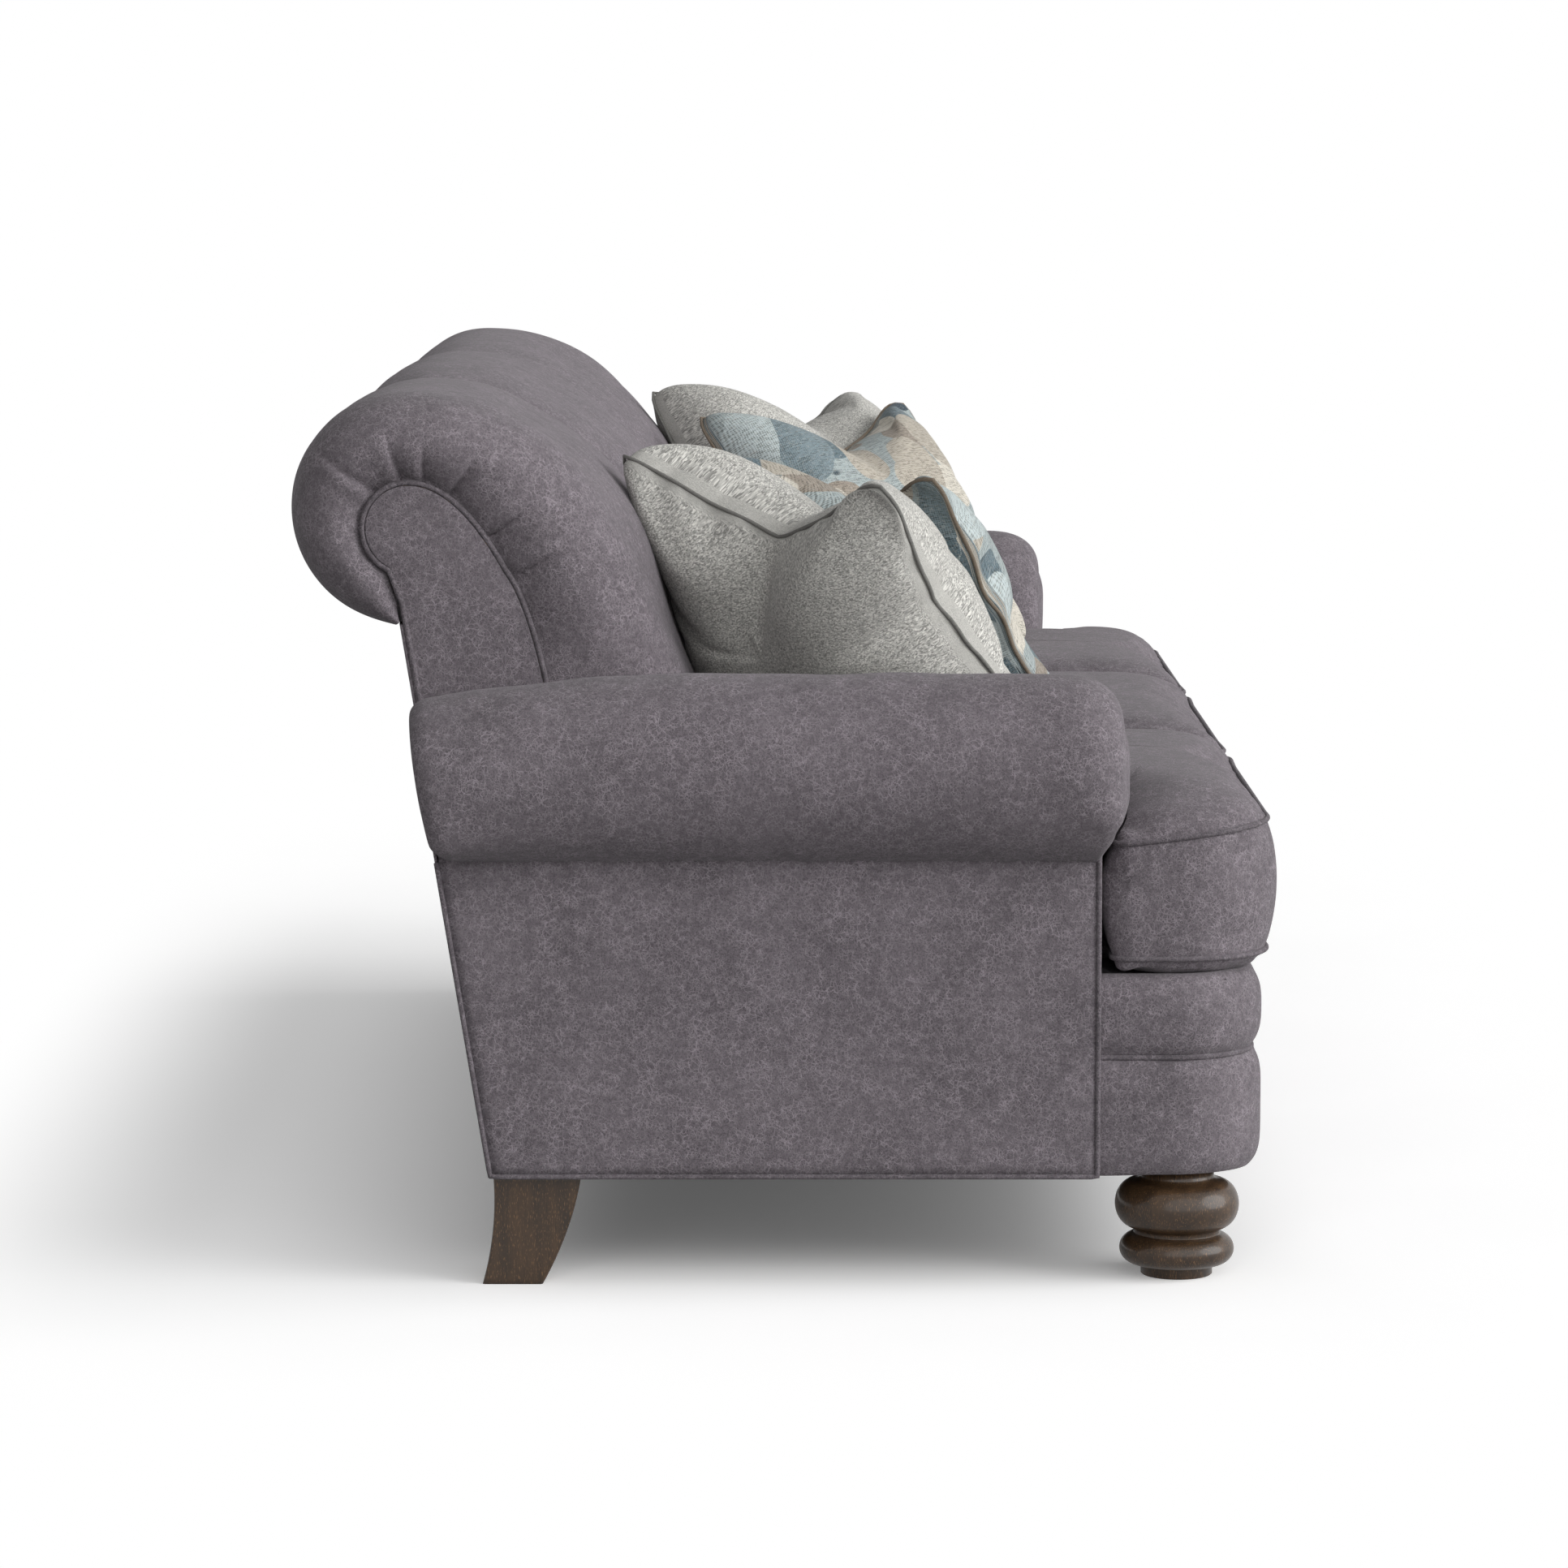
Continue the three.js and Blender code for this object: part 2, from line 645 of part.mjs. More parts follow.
// The least upright gap between a mesh and the mesh below it.
function gapAbove(upper, lower) {
  upper.updateMatrixWorld(true);
  lower.updateMatrixWorld(true);
  const upperBox = new THREE.Box3().setFromObject(upper);
  const lowerBox = new THREE.Box3().setFromObject(lower);
  const caster = new THREE.Raycaster();
  const down = new THREE.Vector3(0, 0, -1);
  const up = new THREE.Vector3(0, 0, 1);
  let gap = Infinity;
  const probe = (from, onto, direction, startHeight) => {
    const positions = from.geometry.attributes.position;
    for (let i = 0; i < positions.count; i += 1) {
      const point = new THREE.Vector3().fromBufferAttribute(positions, i).applyMatrix4(from.matrixWorld);
      caster.set(new THREE.Vector3(point.x, point.y, startHeight), direction);
      const hits = caster.intersectObject(onto);
      if (hits.length > 0) {
        gap = Math.min(gap, (hits[0].point.z - point.z) * direction.z);
      }
    }
  };
  probe(upper, lower, down, upperBox.max.z + lowerBox.max.z);
  probe(lower, upper, up, -upperBox.max.z);
  return gap;
}

// Stands a pillow on its lower edge, turned to the corner, leant back and let down onto the cushion.
function addPillow(name, place, side, material, cushion) {
  const pillow = add(name, pillowGeometry(), material);
  const lean = THREE.MathUtils.degToRad(place.leanDegrees);
  const yaw = THREE.MathUtils.degToRad(pillowYawDegrees);
  const tip = THREE.MathUtils.degToRad(place.tipDegrees);
  pillow.rotation.set(-lean, side * tip, -side * yaw, 'ZXY');
  const toCorner = Math.sin(lean) * (pillowHeight / 2);
  pillow.position.set(
    side * (armInnerX - place.fromArm - toCorner * Math.sin(yaw)),
    place.y - toCorner * Math.cos(yaw),
    cushionTopEdge + cushionCrown + pillowHeight,
  );
  pillow.position.z -= gapAbove(pillow, cushion) - touchGap;
  pillow.updateMatrixWorld(true);
  return pillow;
}

function addPillows(cushions) {
  addPillow('pillow_grey_left', greyPillow, -1, greyFabric, cushions.left);
  addPillow('pillow_print_left', printPillow, -1, printFabric, cushions.left);
  addPillow('pillow_grey_right', greyPillow, 1, greyFabric, cushions.right);
  addPillow('pillow_print_right', printPillow, 1, printFabric, cushions.right);
}

// Back

// The scroll board's edge as points: up the front, over the shoulder and round the head behind.
function scrollEdge() {
  const front = new THREE.CubicBezierCurve(
    new THREE.Vector2(scrollFootFront, underside),
    new THREE.Vector2(scrollFootFront, scrollBellyHeight),
    new THREE.Vector2(scrollNeckDepth, scrollNeckHeight),
    new THREE.Vector2(scrollThroatDepth, scrollThroatHeight),
  );
  const headTop = scrollHeadHeight + scrollHeadRadius;
  const shoulder = new THREE.QuadraticBezierCurve(
    new THREE.Vector2(scrollThroatDepth, scrollThroatHeight),
    new THREE.Vector2((scrollThroatDepth + scrollHeadDepth) / 2, headTop),
    new THREE.Vector2(scrollHeadDepth, headTop),
  );
  const head = new THREE.EllipseCurve(
    scrollHeadDepth, scrollHeadHeight, scrollHeadRadius, scrollHeadRadius,
    Math.PI / 2, -Math.PI * scrollHeadTurnShare, true,
  );
  return [
    ...front.getPoints(scrollFrontSteps), ...shoulder.getPoints(scrollShoulderSteps).slice(1),
    ...head.getPoints(scrollHeadSteps).slice(1),
  ];
}

// The same edge from a given height up, moved outwards by a distance.
function scrollSamples(swell, footHeight) {
  const edge = scrollEdge();
  const above = edge.findIndex((point) => point.y > footHeight);
  const from = edge[Math.max(above - 1, 0)];
  const share = Math.max(0, (footHeight - from.y) / (edge[Math.max(above, 1)].y - from.y));
  const foot = from.clone().lerp(edge[Math.max(above, 1)], share);
  const clipped = [foot, ...edge.slice(Math.max(above, 1))];
  return movedOut(clipped, swell);
}

// Moves the points of an open line to its left by a distance, with mitred bends.
function movedOut(line, distance) {
  return line.map((point, i) => {
    const before = point.clone().sub(line[Math.max(i - 1, 0)]).normalize();
    const after = line[Math.min(i + 1, line.length - 1)].clone().sub(point).normalize();
    const along = before.clone().add(after).normalize();
    const bend = i > 0 && i + 1 < line.length ? along.dot(before) : 1;
    return point.clone().addScaledVector(new THREE.Vector2(-along.y, along.x), distance / bend);
  });
}

// The padding's outer profile: up from the seat, leaning back, and over in a roll to its underside.
// It has as many points as the scroll's edge above the seat deck, so that the two can be blended.
function padSamples(inset) {
  const lineSteps = scrollSamples(0, padBottom).length - 1 - scrollShoulderSteps - scrollHeadSteps;
  const foot = new THREE.Vector2(padFront, padBottom);
  const bend = new THREE.Vector2(padFront, padSeatLineHeight);
  const neck = new THREE.Vector2(padLeanDepth, padLeanHeight);
  const uprightSteps = Math.floor(lineSteps / 2);
  const upright = Array.from({ length: uprightSteps }, (_, k) => foot.clone().lerp(bend, k / uprightSteps));
  const leaningSteps = lineSteps - uprightSteps;
  const leaning = Array.from({ length: leaningSteps }, (_, k) => bend.clone().lerp(neck, k / leaningSteps));
  const lean = neck.clone().sub(bend);
  const rollTop = padRollHeight + padRollRadius;
  const shoulder = new THREE.QuadraticBezierCurve(
    neck,
    neck.clone().addScaledVector(lean, (rollTop - padLeanHeight) / lean.y),
    new THREE.Vector2(padRollDepth, rollTop),
  );
  const roll = new THREE.EllipseCurve(
    padRollDepth, padRollHeight, padRollRadius, padRollRadius,
    Math.PI / 2, -Math.PI * padRollTurnShare, true,
  );
  const profile = [
    ...upright, ...leaning, ...shoulder.getPoints(scrollShoulderSteps),
    ...roll.getPoints(scrollHeadSteps).slice(1),
  ];
  const moved = movedOut(profile, -inset);
  moved[0].y = padBottom;
  return moved;
}

// One hooked ring: the outer profile there, and the scroll's profile back.
function padRing(x, outer, inner) {
  return [...outer, ...[...inner].reverse()].map((point) => new THREE.Vector3(x, point.x, point.y));
}

function seamRise(share) {
  return Math.sqrt(1 - Math.abs(2 * share - 1) ** seamPower);
}

function middlePadGeometry() {
  const half = padSectionJoint - touchGap;
  const inner = scrollSamples(touchGap, padBottom);
  return pairedLoft(padStationShares.map((share) => {
    const outer = padSamples(padSeamDip * (1 - seamRise(share)));
    return padRing(THREE.MathUtils.lerp(-half, half, share), outer, inner);
  }));
}

// The end sections swell from the seam, bulge a little past the scroll's facing and turn back in to
// its welt.
function endPadGeometry(side) {
  const start = padSectionJoint + touchGap;
  const inner = scrollSamples(touchGap, padBottom);
  const rim = scrollSamples(touchGap + padEndThickness, padBottom);
  const crowned = padSamples(0);
  const rings = padEndStationShares.map((share) => {
    const outer = padSamples(padSeamDip * (1 - seamRise(share / 2)));
    return padRing(side * THREE.MathUtils.lerp(start, padDomeStart, share), outer, inner);
  });
  for (const share of padDomeShares) {
    const blend = (1 - Math.cos(padDomeTurn * share)) / (1 - Math.cos(padDomeTurn));
    const outer = crowned.map((point, i) => point.clone().lerp(rim[i], blend));
    const reaches = outer.map((point) => padEndReach(share, point.y));
    const lining = padRing(side * (padDomeStart + padDomeDepth * share), [], inner);
    rings.push([
      ...outer.map((point, i) => new THREE.Vector3(side * (padDomeStart + reaches[i]), point.x, point.y)),
      ...lining,
    ]);
  }
  return pairedLoft(rings);
}

// How far an end section reaches past the start of its dome. It bulges past the facing only above
// the arm's crest.
function padEndReach(share, height) {
  const full = padDomeReach * Math.sin(padDomeTurn * share);
  const clear = THREE.MathUtils.smoothstep(height, armRollHeight + armRollRadius, scrollThroatHeight);
  return THREE.MathUtils.lerp(Math.min(full, padDomeDepth), full, clear);
}

// The board's outline in full, with its raked rear edge, between two heights.
function scrollBoardOutline(footHeight) {
  const samples = scrollSamples(0, footHeight);
  const throat = samples[samples.length - 1];
  const rear = (height) => new THREE.Vector2(rearAt(height) - coverRearGap, height);
  return [...samples, rear(throat.y - scrollHeadRadius / 2), rear(footHeight)];
}

function scrollSlab(outline, near, far) {
  return slab(
    outline,
    (point) => new THREE.Vector3(near, point.x, point.y),
    (point) => new THREE.Vector3(far, point.x, point.y),
  );
}

// The uprights between the end boards stop under the top rail.
function uprightOutline() {
  const top = scrollHeadHeight - topRailRadius - touchGap;
  const foot = railTop + touchGap;
  const below = scrollSamples(0, foot).filter((point) => point.y < scrollThroatHeight);
  const rear = (height) => new THREE.Vector2(rearAt(height) - coverRearGap, height);
  return [...below, new THREE.Vector2(scrollThroatDepth + uprightTopInset, top), rear(top), rear(foot)];
}

function topRailGeometry() {
  const curve = new THREE.LineCurve3(
    new THREE.Vector3(-scrollBoardInnerX + touchGap, scrollHeadDepth, scrollHeadHeight),
    new THREE.Vector3(scrollBoardInnerX - touchGap, scrollHeadDepth, scrollHeadHeight),
  );
  return bar(curve, topRailRadius, topRailSides, 1);
}

function outsideBackGeometry() {
  const panelTop = padRollHeight - padRollRadius - cutOverrun;
  const wide = armCoverOuterX - touchGap;
  const outline = [
    new THREE.Vector2(-wide, underside), new THREE.Vector2(wide, underside),
    new THREE.Vector2(wide, armShoulderHeight), new THREE.Vector2(scrollFaceX, armShoulderHeight),
    new THREE.Vector2(scrollFaceX, panelTop), new THREE.Vector2(-scrollFaceX, panelTop),
    new THREE.Vector2(-scrollFaceX, armShoulderHeight), new THREE.Vector2(-wide, armShoulderHeight),
  ];
  return slab(
    outline,
    (point) => new THREE.Vector3(point.x, rearAt(point.y) - outsidePanelThickness, point.y),
    (point) => new THREE.Vector3(point.x, rearAt(point.y), point.y),
  );
}

function addBack() {
  add('back_pad_left', endPadGeometry(-1), coverFabric);
  add('back_pad_middle', middlePadGeometry(), coverFabric);
  add('back_pad_right', endPadGeometry(1), coverFabric);
  add('back_top_rail', topRailGeometry(), frameWood);
  for (const [name, side] of sides) {
    const board = scrollBoardOutline(underside);
    const boardBack = side * scrollBoardInnerX;
    add(`scroll_board_${name}`, scrollSlab(board, boardBack, side * scrollBoardOuterX), frameWood);
    const facing = scrollBoardOutline(armFrameTopHeight + scrollFacingLap);
    const facingBack = side * (scrollFaceX - scrollFacingThickness);
    add(`scroll_facing_${name}`, scrollSlab(facing, facingBack, side * scrollFaceX), coverFabric);
    add(`scroll_welt_${name}`, scrollWeltGeometry(side), coverFabric);
    const joint = side * padSectionJoint;
    const half = scrollBoardThickness / 2;
    add(`back_upright_${name}`, scrollSlab(uprightOutline(), joint - half, joint + half), frameWood);
  }
  add('outside_back', outsideBackGeometry(), coverFabric);
}

// Arms

// The arm's section as points on the roll and the body, each with its outward direction.
// Its first half has a partner at a like height in its second half.
function armSection() {
  const arcEnd = -Math.acos((armCoverOuterX - armRollX) / armRollRadius);
  const wallTop = armRollHeight + armRollRadius * Math.sin(arcEnd);
  const heights = [underside, deckHeight, armRollUnderside - armUndercutHeight];
  const wall = (x, z, out) => ({ at: new THREE.Vector2(x, z), out: new THREE.Vector2(out, 0) });
  const arc = Array.from({ length: armArcSteps + 1 }, (_, k) => {
    const angle = THREE.MathUtils.lerp(Math.PI, arcEnd, k / armArcSteps);
    const out = new THREE.Vector2(Math.cos(angle), Math.sin(angle));
    return { at: new THREE.Vector2(armRollX, armRollHeight).addScaledVector(out, armRollRadius), out };
  });
  return [
    ...[...heights, wallTop].map((height) => wall(armInnerX, height, -1)), ...arc,
    ...heights.reverse().map((height) => wall(armCoverOuterX, height, 1)),
  ];
}

// How far a height belongs to the roll, from 0 on the body to 1 above the roll's lower edge.
function rollShare(height) {
  return THREE.MathUtils.smoothstep(height, armRollUnderside, armRollUnderside + armUndercutHeight);
}

// The crest sinks towards the rear, where the back's end comes down on it.
function armCrestDropAt(depth, height) {
  const share = Math.max(0, (depth - armCrestDropStart) / (rearAt(armRollHeight) - armCrestDropStart));
  return armCrestDrop * share ** 2 * rollShare(height);
}

function armRing(side, inset, depthAt) {
  return armSection().map(({ at, out }) => {
    const spot = at.clone().addScaledVector(out, -inset(at.y));
    const height = spot.y - armCrestDropAt(depthAt(at.y), at.y);
    return new THREE.Vector3(side * spot.x, depthAt(Math.min(height, at.y)), height);
  });
}

// Rings run from the domed front to the blunt rear.
function armCoverGeometry(side) {
  const frontOf = (height) => armFront - armRollOverhang * rollShare(height);
  const rearOf = (height) => rearAt(height) - coverRearGap;
  const roundingAt = (height, body, roll) => THREE.MathUtils.lerp(body, roll, rollShare(height));
  const domeEnd = (height) => frontOf(height) + roundingAt(height, armEdgeRounding, armDomeLength);
  const rings = armDomeShares.map((share) => {
    const back = 1 - Math.sqrt(1 - (1 - share) ** 2);
    return armRing(
      side,
      (height) => roundingAt(height, armEdgeRounding, armDomeInset) * back,
      (height) => THREE.MathUtils.lerp(frontOf(height), domeEnd(height), share),
    );
  });
  for (const share of armLengthShares) {
    rings.push(armRing(side, () => 0, (height) => {
      return THREE.MathUtils.lerp(domeEnd(height), rearOf(height) - armRearBlend, share);
    }));
  }
  for (const share of armRearShares) {
    const bend = (share * Math.PI) / 2;
    rings.push(armRing(
      side,
      () => armRearRounding * (1 - Math.cos(bend)),
      (height) => rearOf(height) - armRearBlend * (1 - Math.sin(bend)),
    ));
  }
  return pairedLoft(rings);
}

// The pocket for the arm's frame, open below and in front where the side rail comes out.
function armPocket(side) {
  const inner = side * (armFrameInner - armPocketGap);
  const outer = side * (armFrameInner + armFrameThickness + armPocketGap);
  const front = armFront + armFrameFrontInset - armPocketGap;
  const rear = rearAt(underside) - coverRearGap - armFrameFrontInset;
  const bottom = underside - cutOverrun;
  return [
    block(inner, outer, front, rear, bottom, armFrameTopHeight + armPocketGap),
    block(inner, outer, armFront - cutOverrun, front + cutOverrun, bottom, armTongueTop + armPocketGap),
  ];
}

function armBackRoom(side) {
  const outline = [
    new THREE.Vector2(padFront - armPocketGap, underside - cutOverrun),
    ...padSamples(-armPocketGap).slice(1),
    new THREE.Vector2(padRollDepth + padRollRadius, padRollHeight - padRollRadius),
    new THREE.Vector2(padRollDepth + padRollRadius, underside - cutOverrun),
  ];
  const padEnd = padDomeStart + padDomeReach;
  return scrollSlab(outline, side * (armInnerX - cutOverrun), side * (padEnd + armPocketGap));
}

// The arm's frame is one cut board: two posts, a top rail and a side rail that runs forward to the
// corner block.
function armFrameGeometry(side) {
  const front = armFront + armFrameFrontInset;
  const rear = rearAt(underside) - coverRearGap - armFrameFrontInset - armPocketGap;
  const outline = new THREE.Shape([
    new THREE.Vector2(cornerBlockRear + touchGap, underside + touchGap),
    new THREE.Vector2(rear, underside + touchGap), new THREE.Vector2(rear, armFrameTopHeight),
    new THREE.Vector2(front, armFrameTopHeight), new THREE.Vector2(front, armTongueTop),
    new THREE.Vector2(cornerBlockRear + touchGap, armTongueTop),
  ]);
  outline.holes.push(new THREE.Path([
    new THREE.Vector2(front + armFramePostDepth, armSideRailTop),
    new THREE.Vector2(front + armFramePostDepth, armFrameTopHeight - armFrameTopRail),
    new THREE.Vector2(rear - armFramePostDepth, armFrameTopHeight - armFrameTopRail),
    new THREE.Vector2(rear - armFramePostDepth, armSideRailTop),
  ]));
  const geometry = new THREE.ExtrudeGeometry(outline, { depth: armFrameThickness, bevelEnabled: false });
  // The board is drawn in the sketch plane, then stood up so that its sheet faces the side.
  geometry.rotateX(Math.PI / 2);
  geometry.rotateZ(Math.PI / 2);
  geometry.translate(side > 0 ? armFrameInner : -armFrameInner - armFrameThickness, 0, 0);
  return geometry;
}

// The outside arm's panel leaves a welt's width along its front, its hem and its rear.
function outsideArmOutline() {
  const margin = 2 * weltRadius + touchGap;
  const top = armRollUnderside - weltRadius;
  const bottom = underside + margin;
  return [
    new THREE.Vector2(armFront + margin, bottom), new THREE.Vector2(rearAt(bottom) - margin, bottom),
    new THREE.Vector2(rearAt(top) - margin, top), new THREE.Vector2(armFront + margin, top),
  ];
}

// The welt runs down the front edge, along the hem and up the raked rear edge.
function armWeltGeometry(side) {
  const [bottomFront, bottomRear, topRear, topFront] = outsideArmOutline();
  const off = weltRadius + touchGap;
  const x = side * (armOuterX - touchGap);
  const at = (y, z) => new THREE.Vector3(x, y, z);
  const corners = [
    at(topFront.x - off, topFront.y), at(bottomFront.x - off, bottomFront.y - off),
    at(bottomRear.x + off, bottomRear.y - off), at(topRear.x + off, topRear.y),
  ];
  return sweptWelt(corners, new THREE.Vector3(1, 0, 0));
}

// A welt with mitred corners along a flat run of points.
function sweptWelt(points, planeNormal) {
  const rings = points.map((point, i) => {
    const before = i > 0 ? point.clone().sub(points[i - 1]).normalize() : null;
    const after = i + 1 < points.length ? points[i + 1].clone().sub(point).normalize() : null;
    const along = (before ?? after).clone().add(after ?? before).normalize();
    const mitre = before && after ? 1 / Math.sqrt((1 + before.dot(after)) / 2) : 1;
    const across = planeNormal.clone().cross(along).multiplyScalar(mitre);
    return Array.from({ length: weltSides }, (_, k) => {
      const angle = (k / weltSides) * 2 * Math.PI;
      return point.clone()
        .addScaledVector(across, weltRadius * Math.cos(angle))
        .addScaledVector(planeNormal, weltRadius * Math.sin(angle));
    });
  });
  return loft(rings);
}

function scrollWeltGeometry(side) {
  const samples = scrollSamples(touchGap + weltRadius, armTopAtScroll);
  const x = side * (scrollFaceX - weltRadius);
  const points = samples.map((point) => new THREE.Vector3(x, point.x, point.y));
  return sweptWelt(points, new THREE.Vector3(1, 0, 0));
}

function addArms() {
  for (const [name, side] of sides) {
    const cover = cut(armCoverGeometry(side), ...armPocket(side), armBackRoom(side));
    add(`arm_cover_${name}`, cover, coverFabric);
    add(`arm_frame_${name}`, armFrameGeometry(side), frameWood);
    const panelBack = side * (armOuterX - outsidePanelThickness);
    add(`outside_arm_${name}`, scrollSlab(outsideArmOutline(), panelBack, side * armOuterX), coverFabric);
    add(`arm_welt_${name}`, armWeltGeometry(side), coverFabric);
  }
}

// Front border

// The band's section: two puffs with the welt between them, outwards from the nominal face.
function borderSection() {
  const puff = (share) => borderBulge * (1 - Math.abs(2 * share - 1) ** puffPower);
  const section = [];
  for (const share of puffShares) {
    const height = THREE.MathUtils.lerp(underside, borderWeltHeight - weltRadius, share);
    section.push(new THREE.Vector2(puff(share), height));
  }
  const bead = borderBulge * (1 - weltSwellShare / 2);
  section.push(new THREE.Vector2(0, borderWeltHeight - weltRadius));
  section.push(new THREE.Vector2(bead, borderWeltHeight));
  for (const share of puffShares) {
    const height = THREE.MathUtils.lerp(borderWeltHeight + weltRadius, deckHeight, share);
    section.push(new THREE.Vector2(puff(share), height));
  }
  section.push(new THREE.Vector2(-borderBulge, deckHeight));
  section.push(new THREE.Vector2(-borderWall, deckHeight));
  section.push(new THREE.Vector2(-borderWall, underside));
  return section;
}

// The band runs from one arm round both corners to the other arm.
function borderPath() {
  const rear = armFront - touchGap;
  const turn = (side) => {
    const x = side * (borderHalfWidth - borderCornerRadius);
    const centre = new THREE.Vector2(x, borderFace + borderCornerRadius);
    return borderTurnShares.map((share) => {
      const angle = share * (Math.PI / 2);
      const out = new THREE.Vector2(side * Math.cos(angle), -Math.sin(angle));
      return { at: centre.clone().addScaledVector(out, borderCornerRadius), out };
    });
  };
  const end = (side) => {
    return { at: new THREE.Vector2(side * borderHalfWidth, rear), out: new THREE.Vector2(side, 0) };
  };
  return [end(-1), ...turn(-1), ...turn(1).reverse(), end(1)];
}

function addBorder() {
  const section = borderSection();
  const rings = borderPath().map(({ at, out }) => section.map((point) => {
    const place = at.clone().addScaledVector(out, point.x);
    return new THREE.Vector3(place.x, place.y, point.y);
  }));
  add('front_border', loft(rings), coverFabric);
}

// Seat frame

function addRails() {
  const wide = scrollBoardInnerX - touchGap;
  const frontWide = borderHalfWidth - borderCornerRadius;
  const blockOuter = borderHalfWidth - borderWall - cornerBlockInset;
  const frontRear = frontRailFront + railThickness;
  const rearFront = rearRailRear - railThickness;
  const bottom = underside + touchGap;
  add('front_rail', block(-frontWide, frontWide, frontRailFront, frontRear, bottom, railTop), frameWood);
  add('rear_rail', block(-wide, wide, rearFront, rearRailRear, bottom, railTop), frameWood);
  for (const [name, side] of sides) {
    const x = side * padSectionJoint;
    const half = railThickness / 2;
    add(`seat_stretcher_${name}`, block(
      x - half, x + half, frontRear + touchGap, rearFront - touchGap, bottom, stretcherTop,
    ), frameWood);
    const blockFront = frontRear + touchGap;
    add(`front_corner_block_${name}`, block(
      side * (blockOuter - cornerBlockSize), side * blockOuter, blockFront, cornerBlockRear,
      bottom, underside + cornerBlockHeight,
    ), frameWood);
  }
}

class SinuousCurve extends THREE.Curve {
  constructor(x, front, rear) {
    super();
    this.x = x;
    this.front = front;
    this.rear = rear;
  }

  getPoint(share, target = new THREE.Vector3()) {
    const swing = Math.sin(share * springWaves * 2 * Math.PI);
    const flattened = Math.sign(swing) * Math.abs(swing) ** springFlatPower;
    return target.set(
      this.x + springAmplitude * flattened,
      THREE.MathUtils.lerp(this.front, this.rear, share),
      springHeight + springCrown * Math.sin(share * Math.PI),
    );
  }
}

function addSprings() {
  const front = frontRailFront + railThickness + springWireRadius + touchGap;
  const rear = rearRailRear - railThickness - springWireRadius - touchGap;
  const steps = springWaves * springWaveSteps;
  for (let i = 0; i < springCount; i += 1) {
    const x = (i - (springCount - 1) / 2) * springPitch;
    const curve = new SinuousCurve(x, front, rear);
    add(`seat_spring_${i + 1}`, bar(curve, springWireRadius, springWireSides, steps), springSteel);
  }
}

function addDeck() {
  const frontInner = borderFace + borderWall + touchGap;
  const frontHalf = borderHalfWidth - borderWall - touchGap;
  const seatHalf = armInnerX - touchGap;
  const armLine = armFront - touchGap;
  const rear = scrollFootFront - cutOverrun;
  const corner = borderCornerRadius - borderWall;
  const turn = (side) => deckTurnShares.map((share) => {
    const angle = share * (Math.PI / 2);
    return new THREE.Vector2(
      side * (frontHalf - corner + corner * Math.cos(angle)),
      frontInner + corner - corner * Math.sin(angle),
    );
  });
  const outline = [
    new THREE.Vector2(-seatHalf, rear), new THREE.Vector2(-seatHalf, armLine),
    new THREE.Vector2(-frontHalf, armLine), ...turn(-1), ...turn(1).reverse(),
    new THREE.Vector2(frontHalf, armLine), new THREE.Vector2(seatHalf, armLine),
    new THREE.Vector2(seatHalf, rear),
  ];
  add('seat_deck', slab(
    outline,
    (point) => new THREE.Vector3(point.x, point.y, deckHeight - deckThickness),
    (point) => new THREE.Vector3(point.x, point.y, deckHeight),
  ), coverFabric);
}

function addDustCover() {
  const top = underside - touchGap;
  const half = armFrameInner;
  const front = frontRailFront + dustCoverMargin / 2;
  const rear = rearRailRear;
  const footNotch = footX - footCollarRadius - legNotchGap;
  const footRear = footY + footCollarRadius + legNotchGap;
  const legNotch = Math.min(rearLegOuterX - rearLegThickness - legNotchGap, half - dustCoverMargin);
  const legFront = rearLegTopFront - legNotchGap;
  const corners = (side) => [
    [footNotch, front], [footNotch, footRear], [half, footRear],
    [half, legFront], [legNotch, legFront], [legNotch, rear],
  ].map(([x, y]) => new THREE.Vector2(side * x, y));
  const outline = [...corners(1), ...corners(-1).reverse()];
  add('dust_cover', slab(
    outline,
    (point) => new THREE.Vector3(point.x, point.y, top - dustCoverThickness),
    (point) => new THREE.Vector3(point.x, point.y, top),
  ), dustCloth);
}

// Feet and legs

// A turned ring's outline: a half round of its own height around the foot.
function ringPoints(radius, height, half) {
  return Array.from({ length: footRingSteps + 1 }, (_, k) => {
    const angle = THREE.MathUtils.lerp(-Math.PI / 2, Math.PI / 2, k / footRingSteps);
    const swell = (radius - footNeckRadius) * Math.cos(angle);
    return new THREE.Vector2(footNeckRadius + swell, height + half * Math.sin(angle));
  });
}

function turnedFootGeometry() {
  const top = underside;
  const profile = [
    new THREE.Vector2(0, 0), new THREE.Vector2(footPadRadius, 0),
    new THREE.Vector2(footPadRadius, footPadHeight),
    ...ringPoints(lowerRingRadius, lowerRingHeight, lowerRingHalf),
    new THREE.Vector2(footNeckRadius, footNeckHeight),
    ...ringPoints(upperRingRadius, upperRingHeight, upperRingHalf),
    new THREE.Vector2(footCollarRadius, (upperRingHeight + upperRingHalf + top) / 2),
    new THREE.Vector2(footCollarRadius, top), new THREE.Vector2(0, top),
  ];
  const geometry = new THREE.LatheGeometry(profile, footSides);
  geometry.rotateX(Math.PI / 2);
  return geometry;
}

